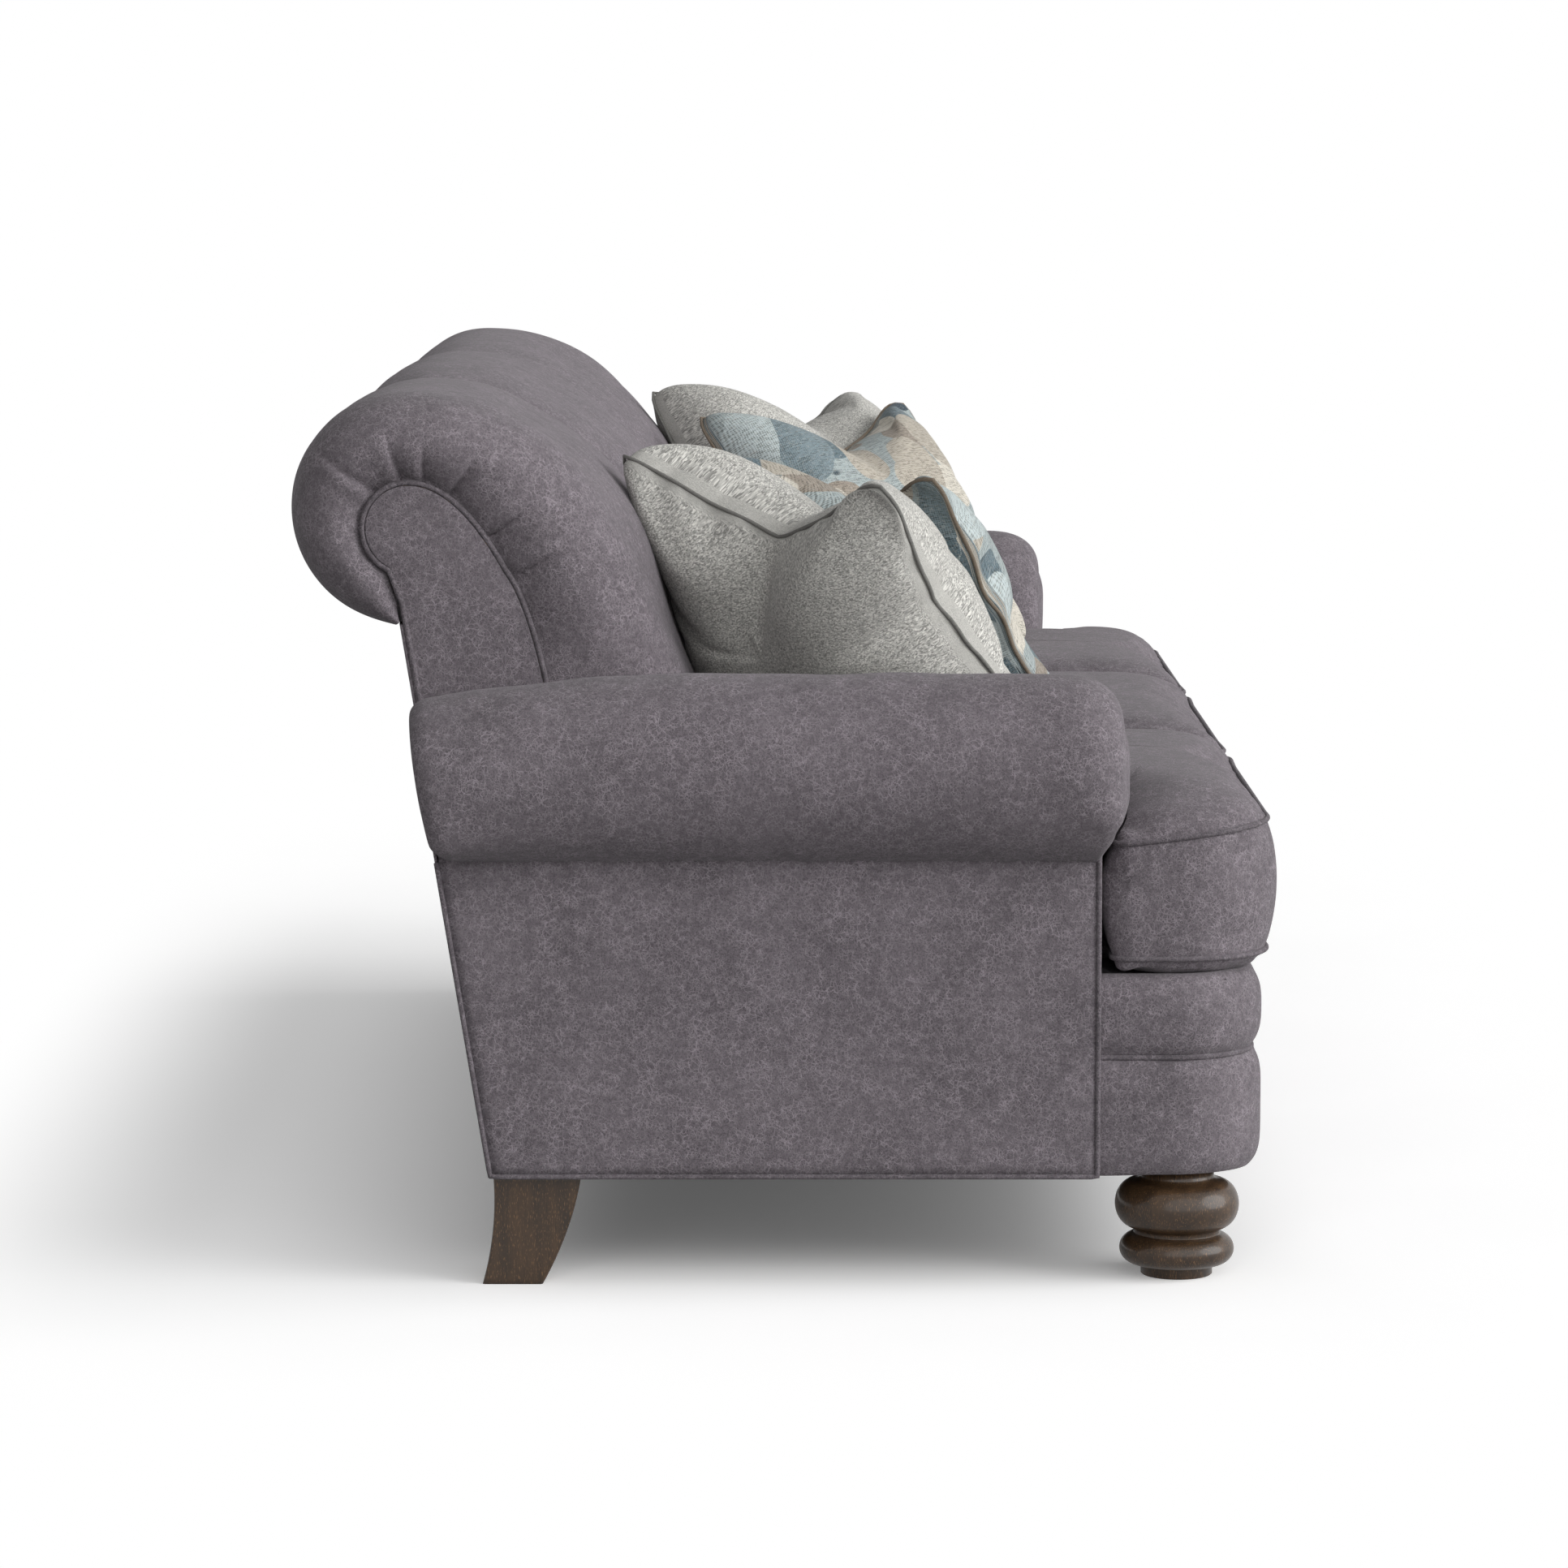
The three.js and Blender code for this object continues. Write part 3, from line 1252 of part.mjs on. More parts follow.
// The sabre leg's side outline: both edges sweep back to the foot.
function sabreOutline() {
  const top = underside;
  const middle = top / 2;
  const rearEdge = new THREE.QuadraticBezierCurve(
    new THREE.Vector2(rearLegTopRear, top),
    new THREE.Vector2(rearLegTopRear - rearLegSweep / 2, middle),
    new THREE.Vector2(rearLegFootRear, 0),
  );
  const frontEdge = new THREE.QuadraticBezierCurve(
    new THREE.Vector2(rearLegFootFront, 0),
    new THREE.Vector2(rearLegTopFront + rearLegSweep, middle),
    new THREE.Vector2(rearLegTopFront, top),
  );
  return [...rearEdge.getPoints(legEdgeSteps), ...frontEdge.getPoints(legEdgeSteps)];
}

function addLegs() {
  for (const [name, side] of sides) {
    const foot = add(`front_foot_${name}`, turnedFootGeometry(), turnedWood);
    foot.position.set(side * footX, footY, 0);
    const leg = scrollSlab(sabreOutline(), side * (rearLegOuterX - rearLegThickness), side * rearLegOuterX);
    add(`rear_leg_${name}`, leg, turnedWood);
  }
}

addRails();
addSprings();
addDeck();
addDustCover();
addLegs();
addBorder();
addArms();
addBack();
addPillows(addSeatCushions());

// The origin is the middle of the sofa's footprint, on the floor.
sofa.updateMatrixWorld(true);
const extent = new THREE.Box3().setFromObject(sofa, true);
const middle = extent.getCenter(new THREE.Vector3());
sofa.position.set(-middle.x, -middle.y, -extent.min.z);

export default sofa;
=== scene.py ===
import math

import bmesh
import bpy
import numpy as np
from mathutils import Matrix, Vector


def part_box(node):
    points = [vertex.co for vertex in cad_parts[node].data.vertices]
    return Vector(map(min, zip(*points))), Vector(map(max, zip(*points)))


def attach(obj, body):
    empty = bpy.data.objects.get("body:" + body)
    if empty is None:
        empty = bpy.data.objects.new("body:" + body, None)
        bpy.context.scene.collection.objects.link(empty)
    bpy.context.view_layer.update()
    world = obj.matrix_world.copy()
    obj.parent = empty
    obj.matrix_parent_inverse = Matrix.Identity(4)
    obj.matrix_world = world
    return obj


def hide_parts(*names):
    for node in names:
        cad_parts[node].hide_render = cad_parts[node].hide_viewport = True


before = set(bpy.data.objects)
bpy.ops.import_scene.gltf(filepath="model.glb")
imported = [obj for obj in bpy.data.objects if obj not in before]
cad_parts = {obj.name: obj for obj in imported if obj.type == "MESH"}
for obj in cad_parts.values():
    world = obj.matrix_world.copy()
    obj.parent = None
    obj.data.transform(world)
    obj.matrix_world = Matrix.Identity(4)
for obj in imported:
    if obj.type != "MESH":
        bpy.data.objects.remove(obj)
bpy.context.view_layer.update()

bl_info = {
    "name": "Roll arm sofa",
    "version": (1, 0, 0),
    "blender": (4, 5, 0),
    "location": "View3D > Sidebar > Sofa",
    "description": "Upholsters the sofa's frame, stuffs its cushions and pillows, and lights it",
    "category": "Object",
}

# The sofa's own sizes in metres. Depths are drawn from the arms' middle, and DEPTH_SHIFT moves them
# into the frame, whose origin is the middle of the footprint.
UNDERSIDE = 0.118
DECK_HEIGHT = 0.333
GAP = 0.0003
WELT = 0.0029
ARM_ROLL_RADIUS = 0.100
ARM_ROLL_HEIGHT = 0.560
ARM_ROLL_X = 1.0175
ARM_INNER_X = 0.9175
ARM_OUTER_X = 1.040
ARM_COVER_OUTER_X = 1.0357
ARM_FRONT = -0.342
ARM_FRONT_OVERHANG = 0.023
ARM_DOME_LENGTH = 0.076
ARM_DOME_INSET = 0.058
ARM_CREST_DROP = 0.028
ARM_DOME_POWER = 0.80
ARM_REAR_ROUNDING = 0.022
ARM_REAR_INSET = 0.016
REAR_CLOTH_ROOM = 0.0043
ROLL_UNDERSIDE = 0.460
REAR_AT_UNDERSIDE = 0.3135
RAKE = math.tan(math.radians(9.25))
SCROLL_FACE_X = 0.960
SCROLL_BOARD_X = 0.9547
SCROLL_FACING_BOTTOM = 0.589
SCROLL_THROAT = (0.297, 0.763)
SCROLL_HEAD = (0.399, 0.810)
SCROLL_HEAD_RADIUS = 0.046
OUTSIDE_BACK_SHOULDER = 0.610
OUTSIDE_BACK_TOP = 0.707
PAD_BOTTOM = DECK_HEIGHT + GAP
PAD_ROLL_DEPTH = 0.405
PAD_ROLL_HEIGHT = 0.828
PAD_ROLL_RADIUS = 0.125
PAD_JOINT = 0.32204
PAD_FOOT = (0.052, PAD_BOTTOM)
PAD_BEND = (0.052, 0.520)
PAD_NECK = (0.150, 0.757)
PAD_SEAM_DIP = 0.022
PAD_CROWN = 0.018
PAD_DOME_LENGTH = 0.078
PAD_DOME_DEPTH = 0.0758
PAD_DOME_TURN = math.radians(125)
PAD_HEM_HEIGHT = 0.712
PAD_HEM_INSET = 0.0050
CUSHION_FRONT = -0.532
CUSHION_REAR = 0.049
CUSHION_JOINT = 0.33902
CUSHION_EAR_X = 1.022
CUSHION_EAR_REAR = -0.353
CUSHION_CROWN = 0.036
CUSHION_BELLY = 0.020
CUSHION_BELLY_REACH = 0.036
CUSHION_BOTTOM_SEAM = DECK_HEIGHT + GAP + CUSHION_BELLY
CUSHION_TOP_SEAM = CUSHION_BOTTOM_SEAM + 0.141
CUSHION_EAR_DROP = 0.020
CUSHION_REAR_CORNER = 0.026
CUSHION_FRONT_CORNER = 0.052
CUSHION_EAR_CORNER = 0.108
CUSHION_ARM_CORNER = 0.020
CUSHION_MOVE = 0.010
CUSHION_GROWTH = 0.012
BORDER_HALF_WIDTH = 1.019
BORDER_FACE = -0.510
BORDER_CORNER = 0.092
BORDER_WELT_HEIGHT = 0.247
BORDER_BULGE = 0.012
BORDER_TUCK = 0.0090
BORDER_BACK = 0.030
PILLOW_WIDTH = 0.410
PILLOW_HEIGHT = 0.402
PILLOW_THICKNESS = 0.142
PILLOW_SEAM_STEP = 0.0123
PILLOW_WELT = 0.0022
PILLOW_PRESSURE = 5.0
PILLOW_MOVE = 0.014
PILLOW_GROWTH = 0.03
LEG_INNER_X = 0.969
LEG_OUTER_X = 1.021
LEG_EASE = 0.0035
CAMERA_LENS = 129.6
CAMERA_PLACE = (-6.990, -0.0035, 1.2598)
CAMERA_TILT = 6.854
DEPTH_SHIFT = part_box("back_pad_middle")[1].y - PAD_ROLL_DEPTH - PAD_ROLL_RADIUS

SIDES = (("left", -1), ("right", 1))

# Where each gather of an end section leaves the facing and where it fades, in depth and height
GATHERS = (((0.4316, 0.8442), (0.4918, 0.8862)), ((0.4054, 0.8564), (0.4216, 0.9037)),
           ((0.3837, 0.8564), (0.3824, 0.8950)), ((0.3534, 0.8477), (0.3300, 0.8790)),
           ((0.3102, 0.8025), (0.2740, 0.8290)), ((0.2757, 0.7632), (0.2430, 0.7850)))

# How far a grey pillow's seam flares out at its fore side, by height over the pillow's middle
FLARE_HEIGHTS = (-0.21, -0.070, -0.025, 0.018, 0.042, 0.075, 0.12, 0.16, 0.20)
FLARE_WIDTHS = (0.030, 0.048, 0.046, 0.030, 0.006, 0.010, 0.009, 0.004, -0.004)

# A front foot's lower and upper rings: how far in their middle line stands, how far they swell from it,
# their height over the floor and half their thickness
FOOT_RINGS = ((0.0450, 0.0172, 0.0287, 0.0164), (0.0470, 0.0203, 0.0778, 0.0258))

# The print's colours in linear light, each up to the next one's lot, and its ground
PRINT_COLOURS = ((0.0, (0.125, 0.175, 0.20)), (0.2, (0.49, 0.555, 0.56)), (0.34, (0.64, 0.605, 0.53)),
                 (0.52, (0.022, 0.045, 0.066)), (0.62, (0.31, 0.27, 0.225)), (0.78, (0.20, 0.26, 0.285)),
                 (0.9, (0.47, 0.43, 0.365)))
PRINT_GROUND = (0.37, 0.425, 0.43, 1)
DECK_COLOUR = (0.13, 0.12, 0.128)
DUST_COLOUR = (0.017, 0.017, 0.019)
GREY_WELT_COLOUR = (0.185, 0.182, 0.170)
TAN_WELT_COLOUR = (0.19, 0.155, 0.12)
WELT_THREAD = 0.0016
# Painted shade on the welts: the cover's cloth there is darkened by this factor
PIPING_PAINTED_SHADE = 0.82

# Each kind of pillow. The chop and the front's fullness are given for the middle of the sofa, with what
# is added on the right and taken off on the left.
PILLOWS = {
    "grey": {"seed": 61, "chop": (0.089, -0.009), "spread": 1, "front": (0.100, 0.0), "back": 0.094,
             "lean": 34, "tip": 4.5},
    "print": {"seed": 71, "chop": (0.092, -0.004), "spread": 0, "front": (0.077, -0.006), "back": 0.044,
              "lean": 36, "tip": 1},
}


# Numbers and lines

def lerp(a, b, share):
    """The value at a share of the way from a to b."""
    return a + (b - a) * share


def smooth(value, low=0.0, high=1.0):
    """0 at low, 1 at high, with a soft start and end."""
    share = np.clip((np.asarray(value, float) - low) / (high - low), 0, 1)
    return share * share * (3 - 2 * share)


def evenly(line, count):
    """The same open line as `count` points at even distances."""
    line = np.asarray(line, float)
    reach = np.concatenate([[0], np.cumsum(np.linalg.norm(np.diff(line, axis=0), axis=1))])
    places = np.linspace(0, reach[-1], count)
    return np.stack([np.interp(places, reach, line[:, k]) for k in range(line.shape[1])], 1)


def around(line, count):
    """A closed line as `count` points at even distances."""
    return evenly(np.vstack([line, line[:1]]), count + 1)[:-1]


def curve_through(points, count):
    """A Bezier curve of any degree."""
    points = [np.asarray(p, float) for p in points]
    share = np.linspace(0, 1, count)[:, None]
    while len(points) > 1:
        points = [a * (1 - share) + b * share for a, b in zip(points, points[1:])]
    return points[0]


def arc(centre, radius, start, end, count):
    """Points on a circle from one angle to another."""
    angle = np.linspace(start, end, count)
    return np.stack([centre[0] + radius * np.cos(angle), centre[1] + radius * np.sin(angle)], 1)


def moved_out(line, distance, closed=False):
    """Moves a line's points to its left by a distance, or by one for each point."""
    line = np.asarray(line, float)
    if closed:
        along = np.roll(line, -1, 0) - np.roll(line, 1, 0)
    else:
        along = np.gradient(line, axis=0)
    along /= np.maximum(np.linalg.norm(along, axis=1, keepdims=True), 1e-9)
    normal = np.stack([-along[:, 1], along[:, 0]], 1)
    return line + normal * np.reshape(distance, (-1, 1))


def waver(places, wavelengths, seed):
    """A repeatable wavering line between about -1 and 1."""
    phases = np.random.default_rng(seed).uniform(0, 2 * math.pi, len(wavelengths))
    waves = [np.sin(2 * math.pi * places / length + phase) for length, phase in zip(wavelengths, phases)]
    return sum(waves) / len(waves)


def rear_at(height):
    """The depth of the raked rear at a height."""
    return REAR_AT_UNDERSIDE + (height - UNDERSIDE) * RAKE


# Meshes

def finish_mesh(name, mesh):
    """Welds a mesh, turns its faces outwards and makes it a piece of the scene."""
    shape = bmesh.new()
    shape.from_mesh(mesh)
    bmesh.ops.remove_doubles(shape, verts=shape.verts, dist=2e-5)
    bmesh.ops.dissolve_degenerate(shape, dist=1e-6, edges=shape.edges)
    bmesh.ops.recalc_face_normals(shape, faces=shape.faces)
    shape.to_mesh(mesh)
    shape.free()
    mesh.polygons.foreach_set("use_smooth", [True] * len(mesh.polygons))
    piece = bpy.data.objects.new(name, mesh)
    bpy.context.scene.collection.objects.link(piece)
    return piece


def shell(name, rows, closed=True, plan=None):
    """A skin over rows of points. Each row is a ring, or an open line where closed is off.
    plan holds a flat place for each point, for finishes that follow the cloth."""
    rows = np.asarray(rows, float)
    count, width = rows.shape[:2]
    columns = width if closed else width - 1
    i, j = np.meshgrid(np.arange(count - 1), np.arange(columns), indexing="ij")
    first, second = i * width + j, i * width + (j + 1) % width
    quads = np.stack([first, second, second + width, first + width], -1).reshape(-1, 4)
    mesh = bpy.data.meshes.new(name)
    mesh.from_pydata(rows.reshape(-1, 3).tolist(), [], quads.tolist())
    if plan is not None:
        layer = mesh.uv_layers.new(name="cloth")
        corners = np.asarray(plan, float).reshape(-1, 2)[quads.reshape(-1)]
        layer.data.foreach_set("uv", corners.astype(np.float32).ravel())
    return finish_mesh(name, mesh)


def strip_caps(rows):
    """Closes both ends of a stack of rings whose first half has a partner in the second half."""
    rows = np.asarray(rows, float)
    first, last = ((ring + ring[::-1]) / 2 for ring in (rows[0], rows[-1]))
    return np.concatenate([first[None], rows, last[None]])


def closed_ends(rows):
    """Closes both ends of a stack of rings, each at its ring's middle."""
    first, last = (np.repeat(np.mean(rows[k], 0)[None], len(rows[k]), 0) for k in (0, -1))
    return [first, *rows, last]


def place_depth(rows):
    """Moves points from the drawing's depth into the frame's."""
    rows = np.asarray(rows, float).copy()
    rows[..., 1] += DEPTH_SHIFT
    return rows


def tube(name, path, radius, closed=False, sides=10):
    """A round welt along a path."""
    path = np.asarray(path, float)
    along = np.roll(path, -1, 0) - np.roll(path, 1, 0) if closed else np.gradient(path, axis=0)
    along /= np.linalg.norm(along, axis=1, keepdims=True)
    side = np.cross(along[0], (0.31, 0.17, 0.93))
    rings = []
    for point, direction in zip(path, along):
        side = side - direction * side.dot(direction)
        side /= np.linalg.norm(side)
        up = np.cross(direction, side)
        angle = np.linspace(0, 2 * math.pi, sides, endpoint=False)[:, None]
        rings.append(point + radius * (np.cos(angle) * side + np.sin(angle) * up))
    if closed:
        rings.append(rings[0])
        return shell(name, rings)
    first, last = (np.repeat(path[k][None], sides, 0) for k in (0, -1))
    return shell(name, [first, *rings, last])


def read_points(mesh, what="co"):
    """A mesh's points, or their normals, as rows of three numbers."""
    found = np.empty(len(mesh.vertices) * 3, np.float32)
    mesh.vertices.foreach_get(what, found)
    return found.reshape(-1, 3).astype(float)


def points_of(piece):
    """The points of a piece's own mesh."""
    return read_points(piece.data)


def set_points(piece, points):
    """Moves the points of a piece's mesh to new places."""
    piece.data.vertices.foreach_set("co", points.astype(np.float32).ravel())
    piece.data.update()


def press(piece, amount):
    """Moves each point along its normal."""
    set_points(piece, points_of(piece) + read_points(piece.data, "normal") * np.reshape(amount, (-1, 1)))


def soften(piece):
    """Rounds a piece's faces by one subdivision."""
    fine = piece.modifiers.new("Soft surface", "SUBSURF")
    fine.levels = fine.render_levels = 1


def stuff(piece, held, pressure, cap, growth, frames=20):
    """Swells a piece under pressure with its seams held, and keeps the cloth's shape. No point
    moves further than cap, and growth is the share by which the cloth is cut larger."""
    before = points_of(piece)
    seams = piece.vertex_groups.new(name="seams")
    seams.add([int(k) for k in np.flatnonzero(held)], 1.0, "REPLACE")
    cloth = piece.modifiers.new("Stuffing", "CLOTH")
    settings = cloth.settings
    settings.quality = 5
    settings.mass = 0.3
    settings.use_pressure = True
    settings.uniform_pressure_force = pressure
    settings.effector_weights.gravity = 0
    settings.vertex_group_mass = seams.name
    settings.shrink_min = -growth
    cloth.collision_settings.use_collision = False
    cloth.point_cache.frame_start = 1
    cloth.point_cache.frame_end = frames
    scene = bpy.context.scene
    for step in range(1, frames + 1):
        scene.frame_set(step)
    evaluated = piece.evaluated_get(bpy.context.evaluated_depsgraph_get())
    after = read_points(evaluated.to_mesh())
    evaluated.to_mesh_clear()
    piece.modifiers.remove(cloth)
    scene.frame_set(1)
    move = after - before
    length = np.linalg.norm(move, axis=1, keepdims=True)
    move *= np.minimum(1, cap / np.maximum(length, 1e-9))
    set_points(piece, before + move)


def settle(piece, material, body, node=None, parent=None):
    """Gives a piece its material, body and the solid that it stands for."""
    piece.data.materials.clear()
    piece.data.materials.append(material)
    if parent is not None:
        piece.parent = parent
        return piece
    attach(piece, body)
    if node:
        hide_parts(*([node] if isinstance(node, str) else node))
    return piece


# Shader maths

class Value:
    """A socket that Python's operators work on. Each operator adds its Math node."""

    def __init__(self, finish, socket):
        self.finish = finish
        self.socket = socket

    def maths(self, operation, other):
        return self.finish.node("ShaderNodeMath", {"operation": operation}, {0: self, 1: other})

    def __add__(self, other):
        return self.maths("ADD", other)

    def __radd__(self, other):
        return self.maths("ADD", other)

    def __sub__(self, other):
        return self.maths("SUBTRACT", other)

    def __rsub__(self, other):
        return self.finish.node("ShaderNodeMath", {"operation": "SUBTRACT"}, {0: other, 1: self})

    def __mul__(self, other):
        return self.maths("MULTIPLY", other)

    def __rmul__(self, other):
        return self.maths("MULTIPLY", other)

    def step(self, low, high):
        """0 below low, 1 above high, smooth between them."""
        settings = {"interpolation_type": "SMOOTHSTEP"}
        return self.finish.node("ShaderNodeMapRange", settings, {0: self, 1: low, 2: high})


class Finish:
    """A material, or the world, and the ways its nodes are added."""

    def __init__(self, name, holder=None):
        self.material = holder or bpy.data.materials.new(name)
        self.material.use_nodes = True
        self.tree = self.material.node_tree
        self.tree.nodes.clear()

    def node(self, kind, settings=None, values=None, output=0):
        """Adds a node with its settings and its sockets' values or links, and gives one of its outputs."""
        made = self.tree.nodes.new(kind)
        for key, value in (settings or {}).items():
            if key == "stops":
                self.set_stops(made.color_ramp, value)
            elif key == "interpolation":
                made.color_ramp.interpolation = value
            else:
                setattr(made, key, value)
        for key, value in (values or {}).items():
            socket = made.inputs[key]
            if isinstance(value, Value):
                self.tree.links.new(value.socket, socket)
            else:
                socket.default_value = value
        return Value(self, made.outputs[output]) if made.outputs else None

    @staticmethod
    def set_stops(ramp, stops):
        """Gives a ramp its stops as places and colours."""
        while len(ramp.elements) < len(stops):
            ramp.elements.new(1.0)
        for element, (place, colour) in zip(ramp.elements, stops):
            element.position = place
            element.color = (*colour, 1.0)

    def place(self, stretch=(1, 1, 1), turn=(0, 0, 0)):
        """The place on the piece in metres, stretched and turned."""
        coordinates = self.node("ShaderNodeTexCoord", output="Object")
        return self.node("ShaderNodeMapping", None, {0: coordinates, 2: turn, 3: stretch})

    def on_cloth(self, stretch=(1, 1, 1), shift=(0, 0, 0), turn=(0, 0, 0)):
        """The place on the flat cloth, in metres before it is stretched."""
        coordinates = self.node("ShaderNodeUVMap", {"uv_map": "cloth"})
        return self.node("ShaderNodeMapping", None, {0: coordinates, 1: shift, 2: turn, 3: stretch})

    def noise(self, place, scale, detail=2.0, roughness=0.5, output="Fac"):
        values = {"Vector": place, "Scale": scale, "Detail": detail, "Roughness": roughness}
        return self.node("ShaderNodeTexNoise", None, values, output)

    def cells(self, place, scale, feature="F1", output=0, randomness=1.0):
        values = {"Vector": place, "Scale": scale, "Randomness": randomness}
        return self.node("ShaderNodeTexVoronoi", {"feature": feature}, values, output)

    def lot(self, place, scale, randomness=1.0):
        """A number between 0 and 1 drawn for each cell."""
        colour = self.cells(place, scale, output="Color", randomness=randomness)
        return self.node("ShaderNodeSeparateColor", None, {0: colour})

    def shifted(self, place, by, amount):
        """A place moved about by a colour."""
        scaled = self.node("ShaderNodeVectorMath", {"operation": "SCALE"}, {0: by, "Scale": amount})
        return self.node("ShaderNodeVectorMath", {"operation": "ADD"}, {0: place, 1: scaled})

    def mix(self, share, first, second, blend="MIX"):
        values = {0: share, 6: first, 7: second}
        return self.node("ShaderNodeMix", {"data_type": "RGBA", "blend_type": blend}, values, 2)

    def ramp(self, share, stops, interpolation="LINEAR"):
        return self.node("ShaderNodeValToRGB", {"stops": stops, "interpolation": interpolation}, {0: share})

    def tones(self, share, colour, tones):
        """A ramp between lighter and darker tones of one colour, given as places and factors."""
        return self.ramp(share, [(place, shade(colour, factor)[:3]) for place, factor in tones])

    def threads(self, direction, scale):
        """The threads of a coarse weave, which wander a little."""
        values = {0: self.on_cloth(), "Scale": scale, "Distortion": 4.5, "Detail": 1.0, "Detail Scale": 0.5}
        return self.node("ShaderNodeTexWave", {"wave_type": "BANDS", "bands_direction": direction}, values, "Fac")

    def seen_directly(self):
        """1 for the camera and for what gloss and glass show, else 0."""
        camera, gloss, glass = (self.node("ShaderNodeLightPath", output=f"Is {ray} Ray")
                                for ray in ("Camera", "Glossy", "Transmission"))
        return camera.maths("MAXIMUM", gloss).maths("MAXIMUM", glass)

    def bump(self, height, distance, strength):
        values = {"Height": height, "Distance": distance, "Strength": strength}
        return self.node("ShaderNodeBump", None, values)

    def surface(self, colour, roughness, normal, **constants):
        """The material's shader. A constant's name has _ for each space of its socket's name."""
        values = {"Base Color": colour, "Roughness": roughness, "Normal": normal}
        values.update({name.replace("_", " "): value for name, value in constants.items()})
        shader = self.node("ShaderNodeBsdfPrincipled", None, values)
        self.node("ShaderNodeOutputMaterial", None, {"Surface": shader})
        return self.material


def linear(colour):
    """An sRGB colour as linear light."""
    return tuple(c / 12.92 if c <= 0.04045 else ((c + 0.055) / 1.055) ** 2.4 for c in colour)


def shade(colour, factor):
    """A colour made lighter or darker, with an alpha of 1."""
    return (*(min(1.0, c * factor) for c in colour), 1.0)


def cover_cloth(name, tone=1.0):
    """Brushed cloth with faint pale veins, mottled like worn hide."""
    cloth = bpy.context.scene.sofa_cloth
    # The factor darkens the whole cloth. Below 1 it is painted shade, as on the welts.
    colour = tuple(c * tone for c in cloth.cover_colour)
    finish = Finish(name)
    place = finish.place()
    drift = finish.noise(place, 85, 3, output="Color")
    bent = finish.shifted(place, drift, 0.014)
    finer = finish.shifted(place, finish.noise(place, 210, 3, output="Color"), 0.006)
    wide = finish.cells(bent, cloth.vein_density, "DISTANCE_TO_EDGE")
    fine = finish.cells(finer, cloth.vein_density * 2.2, "DISTANCE_TO_EDGE")
    broken = finish.noise(place, 40, 3).step(0.42, 0.60)
    scattered = finish.noise(place, 105, 3).step(0.40, 0.58)
    veins = (1 - wide.step(0.0, 0.075)) * broken * 0.75 + (1 - fine.step(0.0, 0.13)) * scattered * 0.70
    mottle = finish.noise(place, 260, 4, 0.7)
    spots = finish.noise(place, 540, 3, 0.65)
    patches = finish.noise(place, 14, 3)
    grain = finish.noise(place, 1100, 2)
    tonal = (mottle - 0.5) * 1.2 + (spots - 0.5) * 1.6 + (patches - 0.5) * 0.5 + (grain - 0.5) * 0.9 + 0.5
    ground = finish.mix(tonal.step(-0.1, 1.1), shade(colour, 0.52), shade(colour, 1.32))
    base = finish.mix(veins, ground, shade(colour, 1.85))
    height = mottle * 0.5 + spots * 0.4 + grain * 0.2 + veins * 0.5
    normal = finish.bump(height, 0.0013, 0.5)
    return finish.surface(base, 0.93 - veins * 0.10, normal, Sheen_Weight=0.10, Sheen_Roughness=0.5,
                          Specular_IOR_Level=0.12)


def nubby_cloth(name):
    """Chenille: short thick nubs in rows, light and dark by turns."""
    cloth = bpy.context.scene.sofa_cloth
    colour = tuple(cloth.grey_colour)
    finish = Finish(name)
    flat = finish.on_cloth((0.8, 1.2, 1.0))
    lot = finish.lot(flat, 1 / cloth.nub_size)
    coarse = finish.lot(flat, 0.45 / cloth.nub_size)
    rows = finish.noise(finish.on_cloth((280.0, 760.0, 1.0)), 1.0, 2)
    wide = finish.noise(flat, 14, 3)
    light = lot * 0.78 + coarse * 0.06 + rows * 0.12 + wide * 0.08
    base = finish.tones(light, colour, ((0.18, 0.50), (0.45, 0.88), (0.62, 1.02), (0.86, 1.50)))
    normal = finish.bump(lot, 0.0003, 0.35)
    return finish.surface(base, 0.95, normal, Sheen_Weight=0.1, Specular_IOR_Level=0.2)


def printed_cloth(name):
    """A coarse weave with scattered rounded patches in two layers over pale blue-grey."""
    finish = Finish(name)
    flat = finish.on_cloth()
    drift = finish.noise(flat, 9, 2, output="Color")

    def patches(stretch, turn, scale, seed):
        """One layer of patches: where they lie, and their colours."""
        place = finish.on_cloth(stretch, (seed, seed * 1.7, 0), (0, 0, turn))
        bent = finish.shifted(place, drift, 0.05)
        near = finish.cells(bent, scale, randomness=0.72)
        each = finish.lot(bent, scale, 0.72)
        mask = 1 - near.step(0.50, 0.512)
        return mask, finish.ramp(each, PRINT_COLOURS, "CONSTANT")

    lower, lower_colour = patches((1.0, 1.5, 1.0), 0.5, 10.2, 3.1)
    upper, upper_colour = patches((1.45, 1.0, 1.0), -0.35, 8.6, 7.4)
    ground = finish.mix(lower, PRINT_GROUND, lower_colour)
    both = finish.mix(upper, ground, upper_colour)
    threads = finish.cells(finish.on_cloth((1.0, 1.7, 1.0)), 430)
    lot = finish.lot(finish.on_cloth((0.45, 1.8, 1.0)), 420)
    weave = finish.threads("X", 118.0) * 0.27 + finish.threads("Y", 136.0) * 0.27 + lot * 0.46
    dark = finish.mix(1 - weave.step(0.12, 0.62), both, (0.22, 0.21, 0.19, 1), "MULTIPLY")
    base = finish.mix(0.80, both, dark)
    pale = finish.mix(threads.step(0.55, 0.9) * 0.22, base, (0.62, 0.60, 0.54, 1))
    normal = finish.bump(weave, 0.0012, 0.6)
    return finish.surface(pale, 0.9, normal, Sheen_Weight=0.1, Specular_IOR_Level=0.25)


